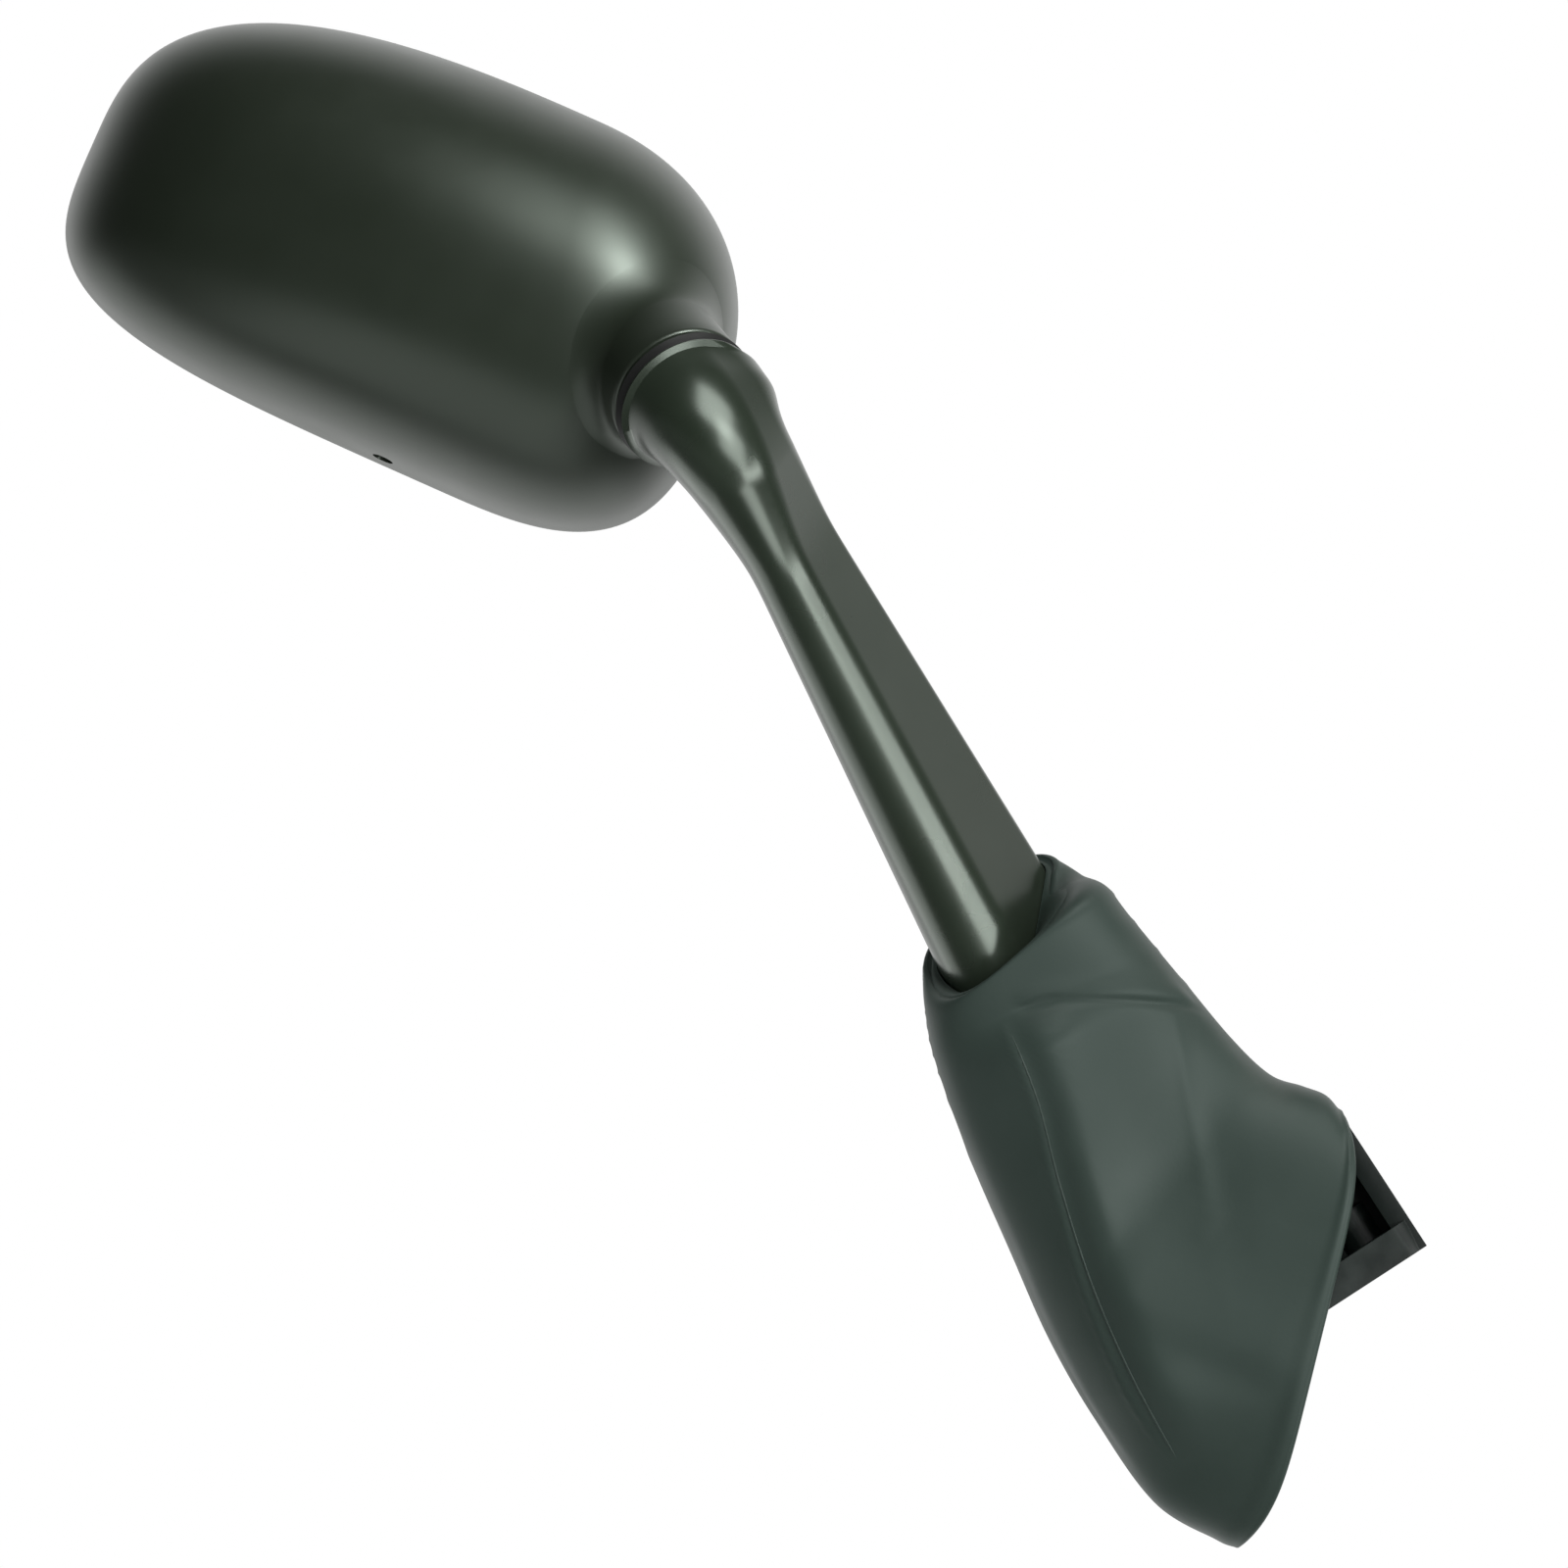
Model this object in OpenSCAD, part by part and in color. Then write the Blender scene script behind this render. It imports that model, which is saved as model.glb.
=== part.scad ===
// Fairing mirror for a motorcycle: a moulded head on a ball joint, a cast arm that folds on a
// sprung pivot, a cast foot, and a rubber boot over the pivot.
// Millimetres. +Z is up, +Y is rearward, +X is inboard. The origin is the middle of the foot's
// mounting face. What is named "base" is measured from that face: x along it, z away from it.

/* [Foot] */
// Lean of the mounting face from level, about the front-to-back line
foot_tilt = 57; // [50:1:64]
// Length of the foot's mounting face
foot_length = 64; // [58:1:68]
// Width of the foot's mounting face
foot_width = 30; // [26:1:32]
// Thickness of the foot's plate
foot_plate = 8; // [6:0.5:10]
// Distance between the two fixing holes
fixing_spacing = 40; // [34:1:42]
// Radius of a fixing hole, as tapped for M6
fixing_r = 2.5; // [2:0.1:3]
// Depth of a fixing hole
fixing_depth = 14; // [12:1:16]
// Thickness of the bracket's upright web
web_t = 7; // [5:0.5:9]
// Thickness of the bracket's end wall
end_wall_t = 5; // [4:0.5:7]
// Height of the end wall above the mounting face
end_wall_h = 34.2; // [30:0.2:34.6]

/* [Fold pivot] */
// Height of the pivot above the mounting face
pivot_h = 46; // [44:0.5:50]
// Place along the foot where the bracket's barrel meets the arm's eye
pivot_face = -6; // [-9:0.5:-5]
// Length of the bracket's barrel
barrel_l = 16; // [13:0.5:18]
// Radius of the barrel and of the arm's eye
barrel_r = 12; // [11:0.25:12.5]
// Radius of the pivot bolt
bolt_r = 4; // [3:0.25:4.5]
// Width of the arm's eye along the pivot
eye_w = 30; // [28:0.5:32]
// Depth of the eye's spring pocket
spring_pocket = 18; // [16:0.5:18.5]
// Wall of the pivot bush
bush_wall = 1.9; // [1:0.1:2.2]
// Thickness of the friction disc
disc_t = 1.5; // [1:0.1:2.5]
// Wire radius of the pivot spring
pivot_wire = 0.9; // [0.6:0.05:1.1]
// Mean radius of the pivot spring
pivot_coil = 6.6; // [6.2:0.1:7.4]
// Thickness of the spring washer plate
cap_t = 1.6; // [1:0.1:2.2]
// Height of the lock nut
nut_h = 7; // [5:0.5:8]

/* [Arm] */
// Radius of the arm's rounded nose beside the head, and where it enters the boot
nose_near = 7.5; // [6.5:0.1:9]
nose_far = 10.8; // [9:0.1:11.2]
// Distance between the centres of the arm's nose and tail, at the same two places
chord_near = 15.8; // [12:0.5:18]
chord_far = 25; // [20:0.5:26]
// How much the arm narrows from nose to tail, per millimetre
taper = 0.3; // [0.15:0.01:0.34]
// Turn of the arm's blade about its own length, tail rearward
blade_turn = 40; // [30:1:50]
// Length of the flare from blade to knuckle
flare = 52; // [44:1:60]
// Reach of the knuckle from the neck to the corner of the bend
knuckle_reach = 19; // [17:0.5:22]
// how far the knuckle bulges on the outside of its bend
knuckle_bulge = 5; // [0:0.5:6]

/* [Neck] */
// Place of the neck's seam from the middle of the head, inboard
neck_across = 44.2; // [40:0.5:47]
// Height of the neck's seam from the middle of the head
neck_rise = -1; // [-5:0.2:2]
// Turn of the neck from straight forward, inboard
neck_turn = 36.7; // [30:0.5:42]
// Drop of the neck below level
neck_drop = 16.4; // [10:0.5:22]
// Radius of the neck at its seam
neck_r = 17.3; // [16.5:0.1:18.5]
// Distance from the neck's seam to the centre of the ball
ball_set = 13; // [12:0.25:14]
// Radius of the ball
ball_r = 7; // [6:0.1:7.2]
// Radius of the stud beside the ball
stud_r = 3.5; // [2.5:0.1:3.6]
// Width of the seam that shows between neck and knuckle
seam = 1.8; // [1.4:0.1:2.4]
// Wall of the ball's liner
liner_wall = 1.9; // [1.4:0.1:2.2]
// Distance of the retainer's screws from the neck's axis
screw_ring = 13.2; // [12.8:0.1:13.6]
// Radius of a retainer screw
screw_r = 1.5; // [1.2:0.1:1.6]
// Length of a retainer spring
retainer_spring_l = 8; // [6:0.5:10]

/* [Head] */
// Middle of the head's outline, outboard of the foot and above it
head_out = 270.1; // [255:0.1:290]
head_up = 139.9; // [130:0.1:150]
// Half width of the head, outboard and inboard of that middle
half_outboard = 107.8; // [90:0.1:120]
half_inboard = 52.8; // [50:0.1:56]
// Height of the head above that middle, and below it
half_above = 50.7; // [46:0.1:54]
half_below = 44.8; // [40:0.1:50]
// Depth of the head from rim to crown
head_depth = 58; // [52:0.5:64]
// Rearward place of the head's rim
rim_y = 4; // [0:0.5:10]
// Wall of the housing
wall = 2.5; // [1.8:0.1:3.2]
// Squareness of the outline at its four corners
square_top_out = 2.7; // [2:0.05:3.2]
square_low_out = 4; // [2.5:0.05:4.2]
square_top_in = 2.2; // [2:0.05:3]
square_low_in = 3.1; // [2.2:0.05:3.4]
// Fullness of the dome, from rim to crown
dome_full = 2.5; // [2.2:0.05:2.9]
// Shift of the crown towards the neck
crown_shift = 9; // [4:0.5:12]
// Radius of the convex glass
glass_curve = 1200; // [900:50:2000]
// Thickness of the glass
glass_t = 2; // [1.5:0.1:3]
// Thickness of the foam pad
pad_t = 0.8; // [0.5:0.1:1.2]
// Thickness of the carrier at its edge
carrier_t = 1.8; // [1.2:0.1:2.5]
// Radius of the drain hole, and its place outboard of the head's middle
drain_r = 1.6; // [1:0.1:2]
drain_out = 14.2; // [0:0.1:40]

/* [Boot] */
// Wall of the rubber boot
boot_wall = 2.2; // [1.6:0.1:2.4]
// Half depth of the boot at its mouth
boot_half_depth = 21; // [20.5:0.5:24]
// How far the skirt's sides reach past its ends
skirt_bow = 6.5; // [4:0.5:8]

/* [Hidden] */

// Clearance of a shaft in its bore, of a pressed piece, of faces that rub, and of loose pieces
fit = 0.04;
snug = 0.02;
rub = 0.06;
gap = 0.3;

black_plastic = [0.06, 0.065, 0.06];
black_metal = [0.1, 0.1, 0.1];
steel = [0.62, 0.63, 0.64];
rubber = [0.3, 0.33, 0.31];

function unit(v) = v / norm(v);
function mix(a, b, t) = a + (b - a) * t;
function ease(t) = let (u = min(1, max(0, t))) u * u * (3 - 2 * u);
function signed_pow(c, p) = sign(c) * pow(abs(c), p);
function from_base(p) = [p.x * cos(foot_tilt) - p.z * sin(foot_tilt), p.y,
                         p.x * sin(foot_tilt) + p.z * cos(foot_tilt)];
function to_base(p) = [p.x * cos(foot_tilt) + p.z * sin(foot_tilt), p.y,
                       p.z * cos(foot_tilt) - p.x * sin(foot_tilt)];
function arc(centre, r, from, to, n) =
    [for (i = [0 : n - 1]) let (a = mix(from, to, i / (n - 1))) centre + r * [cos(a), sin(a)]];
function between(a, b, n) = [for (i = [1 : n]) mix(a, b, i / (n + 1))];

// A smooth curve through a few points, for t from 0 to 1
function through(points, t) =
    let (last = len(points) - 1, s = min(t, 0.99999) * last, i = floor(s), u = s - i,
         a = points[max(0, i - 1)], b = points[i], c = points[i + 1], d = points[min(last, i + 2)])
    b + u / 2 * (c - a + u * (2 * a - 5 * b + 4 * c - d + u * (3 * b - a - 3 * c + d)));

// A closed solid skinned over rings of equal length; looped joins the last ring to the first
module skin(rings, looped = false) {
    n = len(rings[0]);
    m = len(rings);
    side = [for (i = [0 : looped ? m - 1 : m - 2], j = [0 : n - 1])
        let (a = i * n + j, b = i * n + (j + 1) % n, up = ((i + 1) % m - i) * n)
        each [[a, b + up, b], [a, a + up, b + up]]];
    ends = [[for (j = [0 : n - 1]) j], [for (j = [n - 1 : -1 : 0]) (m - 1) * n + j]];
    polyhedron([for (ring = rings) each ring], looped ? side : concat(side, ends), convexity = 6);
}

// Places its children at a point with their z axis along a direction
module aimed(at, along) {
    translate(at) rotate([0, acos(along.z), atan2(along.y, along.x)]) children();
}

module on_base() {
    rotate([0, -foot_tilt, 0]) children();
}

// A tube between two heights
module ring(outer, inner, low, high) {
    translate([0, 0, low]) difference() {
        cylinder(r = outer, h = high - low, $fn = 64);
        translate([0, 0, -1]) cylinder(r = inner, h = high - low + 2, $fn = 64);
    }
}

// A compression spring from its base up, with a quarter turn lying flat at each end
module spring(coil, wire, length, turns, sides, steps) {
    n = turns * steps;
    rings = [for (i = [0 : n])
        let (turn = i / steps, climb = min(1, max(0, (turn - 0.25) / (turns - 0.5))),
             up = mix(wire, length - wire, climb))
        [for (j = [0 : sides - 1])
            let (a = -360 * (j + 0.5) / sides, r = coil + wire * cos(a))
            [r * cos(360 * turn), r * sin(360 * turn), up + wire * sin(a)]]];
    skin(rings);
}

// The head's outline at a share of its size, drawn in by an inset
head_n = 64;
glass_mid = (half_inboard - half_outboard) / 2;
function squareness(turn, share) =
    mix(2.2, turn < 90 ? square_top_in : turn < 180 ? square_top_out
             : turn < 270 ? square_low_out : square_low_in, share);
function half_size(turn) = [cos(turn) > 0 ? half_inboard : half_outboard,
                            sin(turn) > 0 ? half_above : half_below];
function outline_point(turn, share, inset) =
    let (p = 2 / squareness(turn, share), half = half_size(turn))
    [(half.x * share - inset) * signed_pow(cos(turn), p),
     (half.y * share - inset) * signed_pow(sin(turn), p)];
function outline(inset) = [for (j = [0 : head_n - 1]) outline_point(360 * j / head_n, 1, inset)];

// The dome: its outline shrinks with depth, and the rim follows the curve of the glass
function dome_share(deep) = pow(1 - pow(min(1, max(0, deep)), dome_full), 1 / dome_full);
function glass_fall(x, z) = (pow(x - glass_mid, 2) + z * z) / (2 * glass_curve);
function dome_ring(depth, inset, total, fall) =
    let (share = dome_share(depth / total))
    [for (j = [head_n - 1 : -1 : 0])
        let (p = outline_point(360 * j / head_n, share, inset))
        [crown_shift * (1 - share) + p.x - head_out,
         rim_y - depth - glass_fall(p.x, p.y) * fall, p.y + head_up]];

// How far outside the dome a point lies: below zero inside
function dome_level(p) =
    let (x = p.x + head_out, z = p.z - head_up, rough = (rim_y - p.y) / head_depth,
         deep = rough - glass_fall(x, z) * (1 - rough) / head_depth, share = dome_share(deep),
         dx = x - crown_shift * (1 - share), turn = (atan2(z, dx) + 360) % 360,
         half = half_size(turn), e = squareness(turn, share))
    deep >= 1 ? 1 : pow(abs(dx / (half.x * share)), e) + pow(abs(z / (half.y * share)), e) - 1;

// The neck: its axis runs from the ball into the head
neck_in = [-sin(neck_turn) * cos(neck_drop), cos(neck_turn) * cos(neck_drop), sin(neck_drop)];
neck_down = [neck_in.z * cos(neck_turn + 90), neck_in.z * sin(neck_turn + 90), -cos(neck_drop)];
neck_left = cross(neck_in, neck_down);
seam_at = [neck_across - head_out, rim_y - head_depth - 0.5, head_up + neck_rise];
ball_at = seam_at + ball_set * neck_in;
neck_sphere = norm([neck_r, ball_set]);
cup_sphere = neck_sphere + seam;
seal_t = seam - 2 * gap;
throat_r = 6.6;
mouth_r = 10.6;
socket_r = ball_r + 2 * fit + liner_wall;
socket_back = 10;
liner_low = 4.6;
liner_high = 3;
boss_end = 4.66;
plate_t = 1.6;
plate_z = socket_back + 1;
screw_head_r = 3;
screw_head_h = 2.4;
screw_l = 22;
screw_turns = [20, 140, 260];
retainer_coil = 2.35;
retainer_wire = 0.45;
shank_r = stud_r + 0.5;
shank_l = 33;

module on_neck() {
    aimed(ball_at, neck_in) children();
}

module at_screw(i) {
    on_neck() rotate([0, 0, screw_turns[i - 1]]) translate([screw_ring, 0, 0]) children();
}

// Depth along the neck's axis at which a line beside it meets the dome
function dome_depth(r, a, low, high, tries) =
    let (mid = (low + high) / 2,
         p = ball_at + mid * neck_in + r * cos(a) * neck_down + r * sin(a) * neck_left)
    tries == 0 ? mid : dome_level(p) > 0 ? dome_depth(r, a, mid, high, tries - 1)
                                         : dome_depth(r, a, low, mid, tries - 1);
function on_dome(r, a) = dome_depth(r, a, -26, 20, 16);

// The arm's spine: straight out of the neck, round the knuckle's bend, straight to the eye
eye_near = -disc_t - rub;
eye_far = eye_near - eye_w;
pivot_at = from_base([pivot_face + eye_near - eye_w * 0.6, 0, pivot_h]);
corner_at = seam_at - knuckle_reach * neck_in;
blade_way = unit(pivot_at - corner_at);
neck_straight = 6;
bend = acos(-blade_way * neck_in);
bend_reach = knuckle_reach - neck_straight;
bend_r = bend_reach / tan(bend / 2);
bend_l = bend_r * bend * PI / 180;
spine_l = neck_straight + bend_l + norm(pivot_at - corner_at) - bend_reach;
bend_side = unit(blade_way - (blade_way * neck_in) * neck_in);
blade_chord = from_base([cos(blade_turn), sin(blade_turn), 0]);
root_l = 78;
blade_end = spine_l - root_l;

function spine_turn(s) = min(bend, max(0, (s - neck_straight) / bend_r * 180 / PI));
function spine_way(s) = -cos(spine_turn(s)) * neck_in + sin(spine_turn(s)) * bend_side;
function spine_at(s) =
    let (a = spine_turn(s))
    seam_at - min(s, neck_straight) * neck_in
    + bend_r * (-sin(a) * neck_in + (1 - cos(a)) * bend_side)
    + max(0, s - neck_straight - bend_l) * blade_way;

// The arm's section: a nose circle and a smaller tail circle with flat flanks between
section_n = 40;
function drop_section(r, d) =
    let (turn = acos(taper),
         tail = arc([d, 0], r - taper * d, turn, -turn, 11),
         nose = arc([0, 0], r, -turn, turn - 360, 19))
    concat(tail, between(tail[10], nose[0], 5), nose, between(nose[18], tail[0], 5));

// That section along the spine: knuckle, blade, and the root that runs into the eye
function flared(s) = pow(max(0, 1 - s / flare), 1.25);
function blade_mix(near, far, s) = mix(near, far, min(1.1, max(0, (s - flare) / (blade_end - flare))));
function rooted(s) = ease((s - blade_end - 14) / 52);
function nose_at(s) = mix(mix(blade_mix(nose_near, nose_far, s), 9, rooted(s)), neck_r, flared(s));
function bulged(s) = knuckle_bulge * pow(max(0, 1 - pow((s - 11) / 10, 2)), 1.5);
function chord_at(s) = bulged(s)
    + mix(mix(blade_mix(chord_near, chord_far, s), 9, rooted(s)), 0.6, min(1, flared(s) * 1.1));
function section_at(s, grow) =
    let (way = spine_way(s), chord = unit(blade_chord - (blade_chord * way) * way),
         flat = cross(way, chord))
    [for (p = drop_section(nose_at(s) + grow, chord_at(s))) [p, spine_at(s) + p.x * chord + p.y * flat]];

// The boot, in base measures: rails down its left and right edges, from the arm to the mouth
boot_left = [[-31, 117], [-38, 110], [-42.5, 98], [-47.5, 76], [-51.5, 52], [-55, 30],
             [-56.2, 8], [-54.8, -17.5], [-44.8, -35.5]];
boot_right = [[7, 124], [14, 118], [15.5, 104], [17.8, 84], [20, 66], [23, 54],
              [28, 47.5], [31.5, 42.5], [32.2, end_wall_h + 3 * gap + 0.8 * boot_wall]];
boot_rings = 18;
grip_back = 73;
grip_s = spine_l - grip_back;
grip_tilt = [0.3, -0.5];
boot_ease = 26;
grip_turns = [for (p = drop_section(nose_at(grip_s), chord_at(grip_s)))
    atan2(p.y, p.x - 0.4 * chord_at(grip_s))];
// Rings start by pointing where the arm's section does, and are evenly spaced further down
function boot_turn(j, t) =
    let (own = grip_turns[j] - grip_turns[0])
    blade_turn - grip_turns[0] - mix(own > 0.01 ? own - 360 : own, -360 * j / section_n, ease(t * 2.5));
boot_lean = to_base(spine_at(grip_s)).y + 3;
function boot_y(t) = boot_lean * (1 - ease((t - 0.1) * 1.9));
boot_top_depth = 20.8;
boot_square = 3.1;
skirt_square = [3.6, 2.3];
function boot_depth(t) = mix(boot_top_depth, boot_half_depth, ease((t - 0.3) * 1.6));
function boot_bluntness(t, a) = mix(boot_square, skirt_square[cos(a) > 0 ? 0 : 1], ease(t * 1.4 - 0.2));
function boot_body(t, inset) =
    let (l = through(boot_left, t), r = through(boot_right, t), mid = (l + r) / 2,
         half = norm(r - l) / 2, across = (r - l) / (2 * half), down = [across.y, -across.x],
         bow = skirt_bow * ease((t - 0.55) / 0.45))
    [for (j = [0 : section_n - 1])
        let (a = boot_turn(j, t), p = 2 / boot_bluntness(t, a),
             c = signed_pow(cos(a), p), s = signed_pow(sin(a), p),
             flat = mid + (half - inset) * c * across + bow * (1 - pow(c, 6)) * down)
        [flat.x, boot_y(t) + (boot_depth(t) - inset) * s, flat.y]];
function boot_grip(t, inset) =
    let (seat = section_at(grip_s, 0))
    [for (j = [0 : section_n - 1])
        to_base(section_at(grip_s - seat[j][0] * grip_tilt, gap + boot_wall - inset + boot_ease * t)[j][1])];
function boot_ring(t, inset) =
    let (body = boot_body(t, inset), held = 1 - ease(t / 0.2))
    held == 0 ? body
              : let (grip = boot_grip(t, inset)) [for (j = [0 : section_n - 1]) mix(body[j], grip[j], held)];

// The glass and what lies behind it share one curve
lip = 2;
ledge = 4.6;
stack = glass_t + pad_t + carrier_t + 2 * rub;
glass_set = 1.2;
ledge_depth = glass_set + stack + rub;

module curved_plate(front, thick, inset) {
    reach = half_outboard + half_inboard;
    crown = [for (i = [0 : 14]) let (r = reach * i / 14) [r, -r * r / (2 * glass_curve)]];
    band = concat([for (p = crown) p - [0, thick]],
                  [for (i = [14 : -1 : 0]) crown[i]]);
    translate([-head_out, 0, head_up]) intersection() {
        translate([glass_mid, rim_y - front, 0]) rotate([-90, 0, 0]) rotate_extrude($fn = 120) polygon(band);
        rotate([90, 0, 0]) translate([0, 0, -50]) linear_extrude(100) polygon(outline(inset));
    }
}

module housing_shell() {
    steps = [for (i = [0 : 13]) pow(sin(mix(88.5, 9, i / 13)), 2 / dome_full)];
    inner_depth = head_depth - wall;
    outer = [for (u = steps) dome_ring(head_depth * u, 0, head_depth, 1 - u)];
    inner = [for (i = [12 : -1 : 0]) let (u = pow(sin(mix(80, 9, i / 13)), 2 / dome_full))
        dome_ring(inner_depth * u, wall, inner_depth, 1 - u)];
    rim = [dome_ring(1, 0, head_depth, 1), dome_ring(0, 0.9, head_depth, 1),
           dome_ring(0, lip, head_depth, 1), dome_ring(ledge_depth, lip, head_depth, 1),
           dome_ring(ledge_depth, ledge, head_depth, 1),
           dome_ring(ledge_depth + 2, ledge, head_depth, 1),
           dome_ring(ledge_depth + 4, wall, head_depth, 0.9)];
    skin(concat(outer, rim, inner));
}

// The fillet that raises the neck out of the dome, following the dome's own surface
module neck_fillet() {
    n = 48;
    profile = [for (i = [0 : n - 1])
        let (a = 360 * i / n, r = max(1.5, min(6, on_dome(neck_r, a) + ball_set - 2.5)))
        concat([[neck_r - 2, on_dome(neck_r, a) - r]],
               [for (u = [0 : 15 : 75])
                   let (at = neck_r - gap + r * (1 - cos(u))) [at, on_dome(at, a) - r * (1 - sin(u))]],
               [[neck_r + r, on_dome(neck_r + r, a) + 0.8],
                [neck_r - 2, on_dome(neck_r, a) + 1.2]])];
    rings = [for (k = [0 : len(profile[0]) - 1])
        [for (i = [0 : n - 1])
            let (a = 360 * i / n, p = profile[i][k])
            ball_at + p.y * neck_in + p.x * (cos(a) * neck_down + sin(a) * neck_left)]];
    skin(rings, true);
}

// The neck's boss, whose front is part of a sphere about the ball
module neck_boss() {
    face = acos(ball_set / neck_sphere);
    front = [for (i = [0 : 8]) neck_sphere * [sin(face * i / 8), -cos(face * i / 8)]];
    rotate_extrude($fn = 64) polygon(concat(front, [[neck_r, socket_back], [0, socket_back]]));
}

// The way through the boss: a cone that lets the stud tilt, then the socket for ball and liner
module neck_socket() {
    throat_z = -sqrt(socket_r * socket_r - throat_r * throat_r);
    translate([0, 0, -neck_sphere - 1])
        cylinder(r1 = mouth_r, r2 = throat_r, h = throat_z + neck_sphere + 1.05, $fn = 48);
    sphere(r = socket_r, $fn = 48);
    cylinder(r = socket_r, h = socket_back + 1, $fn = 48);
}

module housing() {
    color(black_plastic) difference() {
        union() {
            housing_shell();
            neck_fillet();
            on_neck() neck_boss();
        }
        on_neck() neck_socket();
        for (i = [1 : 3]) at_screw(i) translate([0, 0, plate_z + plate_t + retainer_spring_l - screw_l - gap])
            cylinder(r = screw_r + snug, h = 40, $fn = 24);
        translate([-drain_out - head_out, rim_y - ledge_depth - 6, head_up - half_below - 5])
            cylinder(r = drain_r, h = 12, $fn = 24);
    }
}

module glass() {
    color([0.75, 0.8, 0.82]) curved_plate(glass_set, glass_t, lip + gap);
}

module glass_pad() {
    color([0.2, 0.2, 0.2]) curved_plate(glass_set + glass_t + rub, pad_t, lip + 1.5);
}

module glass_carrier() {
    color(black_plastic) curved_plate(glass_set + glass_t + pad_t + 2 * rub, carrier_t, lip + gap);
}

// The plate that the screws' springs press on the liner, with a boss that enters the socket
module retainer_plate() {
    lobes = [for (turn = screw_turns)
        each arc(screw_ring * [cos(turn), sin(turn)], 3.4, turn - 60, turn + 60, 9)];
    color(steel) on_neck() difference() {
        union() {
            translate([0, 0, plate_z]) linear_extrude(plate_t) polygon(lobes);
            translate([0, 0, boss_end])
                cylinder(r = socket_r - gap, h = plate_z + plate_t - boss_end, $fn = 64);
        }
        sphere(r = ball_r + 0.5, $fn = 96);
        cylinder(r = ball_r - 3, h = 30, $fn = 48);
        for (turn = screw_turns) rotate([0, 0, turn]) translate([screw_ring, 0, plate_z - 1])
            cylinder(r = screw_r + gap, h = plate_t + 2, $fn = 32);
    }
}

module retainer_screw(i) {
    color(steel) at_screw(i) translate([0, 0, plate_z + plate_t + retainer_spring_l]) difference() {
        union() {
            cylinder(r = screw_head_r, h = screw_head_h, $fn = 32);
            translate([0, 0, -screw_l]) cylinder(r = screw_r, h = screw_l, $fn = 32);
        }
        for (turn = [0, 90]) rotate([0, 0, turn]) translate([-1.8, -0.35, screw_head_h - 1.2]) cube([3.6, 0.7, 2]);
    }
}

module retainer_spring(i) {
    color(steel) at_screw(i) translate([0, 0, plate_z + plate_t])
        spring(retainer_coil, retainer_wire, retainer_spring_l, 5, 6, 12);
}

// The plastic liner between ball and socket, open at both ends
module ball_liner() {
    color([0.85, 0.84, 0.78]) on_neck() difference() {
        sphere(r = ball_r + fit + liner_wall, $fn = 96);
        sphere(r = ball_r + fit, $fn = 96);
        translate([0, 0, liner_high]) cylinder(r = 20, h = 20, $fn = 48);
        translate([0, 0, -liner_low - 20]) cylinder(r = 20, h = 20, $fn = 48);
    }
}

// The ring that floats in the seam, between the neck's sphere and the knuckle's cup
module neck_seal() {
    inner_a = asin((stud_r + 1.4) / neck_sphere);
    outer_a = acos(ball_set / neck_sphere) - 3.5;
    low = neck_sphere + gap;
    high = low + seal_t;
    inside = [for (i = [0 : 8]) let (a = mix(inner_a, outer_a, i / 8)) low * [sin(a), -cos(a)]];
    outside = [for (i = [8 : -1 : 0]) let (a = mix(inner_a, outer_a, i / 8)) high * [sin(a), -cos(a)]];
    color(rubber / 2) on_neck() rotate_extrude($fn = 96) polygon(concat(inside, outside));
}

module ball_stud() {
    color(steel) on_neck() {
        difference() {
            sphere(r = ball_r, $fn = 96);
            translate([0, 0, ball_r - 1.2]) cylinder(r = ball_r, h = 4, $fn = 48);
        }
        translate([0, 0, -cup_sphere - 1]) cylinder(r = stud_r, h = cup_sphere - ball_r + 3, $fn = 48);
        translate([0, 0, -shank_l]) cylinder(r = shank_r, h = shank_l - cup_sphere - rub, $fn = 48);
    }
}

module arm() {
    stations = concat([for (i = [0 : 15]) flare * i / 15], [for (i = [1 : 5]) mix(flare, blade_end, i / 5)],
                      [for (i = [1 : 9]) mix(blade_end, spine_l - 5, i / 9)]);
    color(black_metal) difference() {
        union() {
            skin([for (i = [len(stations) - 1 : -1 : 0])
                [for (pair = section_at(stations[i], 0)) pair[1]]]);
            on_neck() translate([0, 0, -ball_set - neck_straight]) cylinder(r = neck_r, h = neck_straight, $fn = 96);
            on_pivot() translate([0, 0, eye_far]) cylinder(r = barrel_r, h = eye_w, $fn = 64);
        }
        on_neck() sphere(r = cup_sphere, $fn = 96);
        on_neck() translate([0, 0, -shank_l - rub]) cylinder(r = shank_r + snug, h = shank_l, $fn = 48);
        on_pivot() translate([0, 0, eye_far - 1]) cylinder(r = bush_r + snug, h = eye_w + 2, $fn = 48);
        on_pivot() translate([0, 0, eye_far - 40]) cylinder(r = pocket_r, h = 40 + spring_pocket, $fn = 48);
    }
}

// The fold pivot, measured along its line from the barrel's face: positive towards the barrel
bush_r = bolt_r + fit + bush_wall;
pocket_r = barrel_r - 3;
pocket_floor = eye_far + spring_pocket;
pivot_spring_l = spring_pocket - cap_t - 4;
cap_z = pocket_floor - rub - pivot_spring_l - cap_t;
bolt_head_h = 5.3;
hex_r = bolt_r * 1.875;
washer_t = 1.5;

module on_pivot() {
    on_base() translate([pivot_face, 0, pivot_h]) rotate([0, 90, 0]) children();
}

module pivot_bush() {
    color([0.85, 0.84, 0.78]) on_pivot() ring(bush_r, bolt_r + fit, pocket_floor, eye_near);
}

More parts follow.
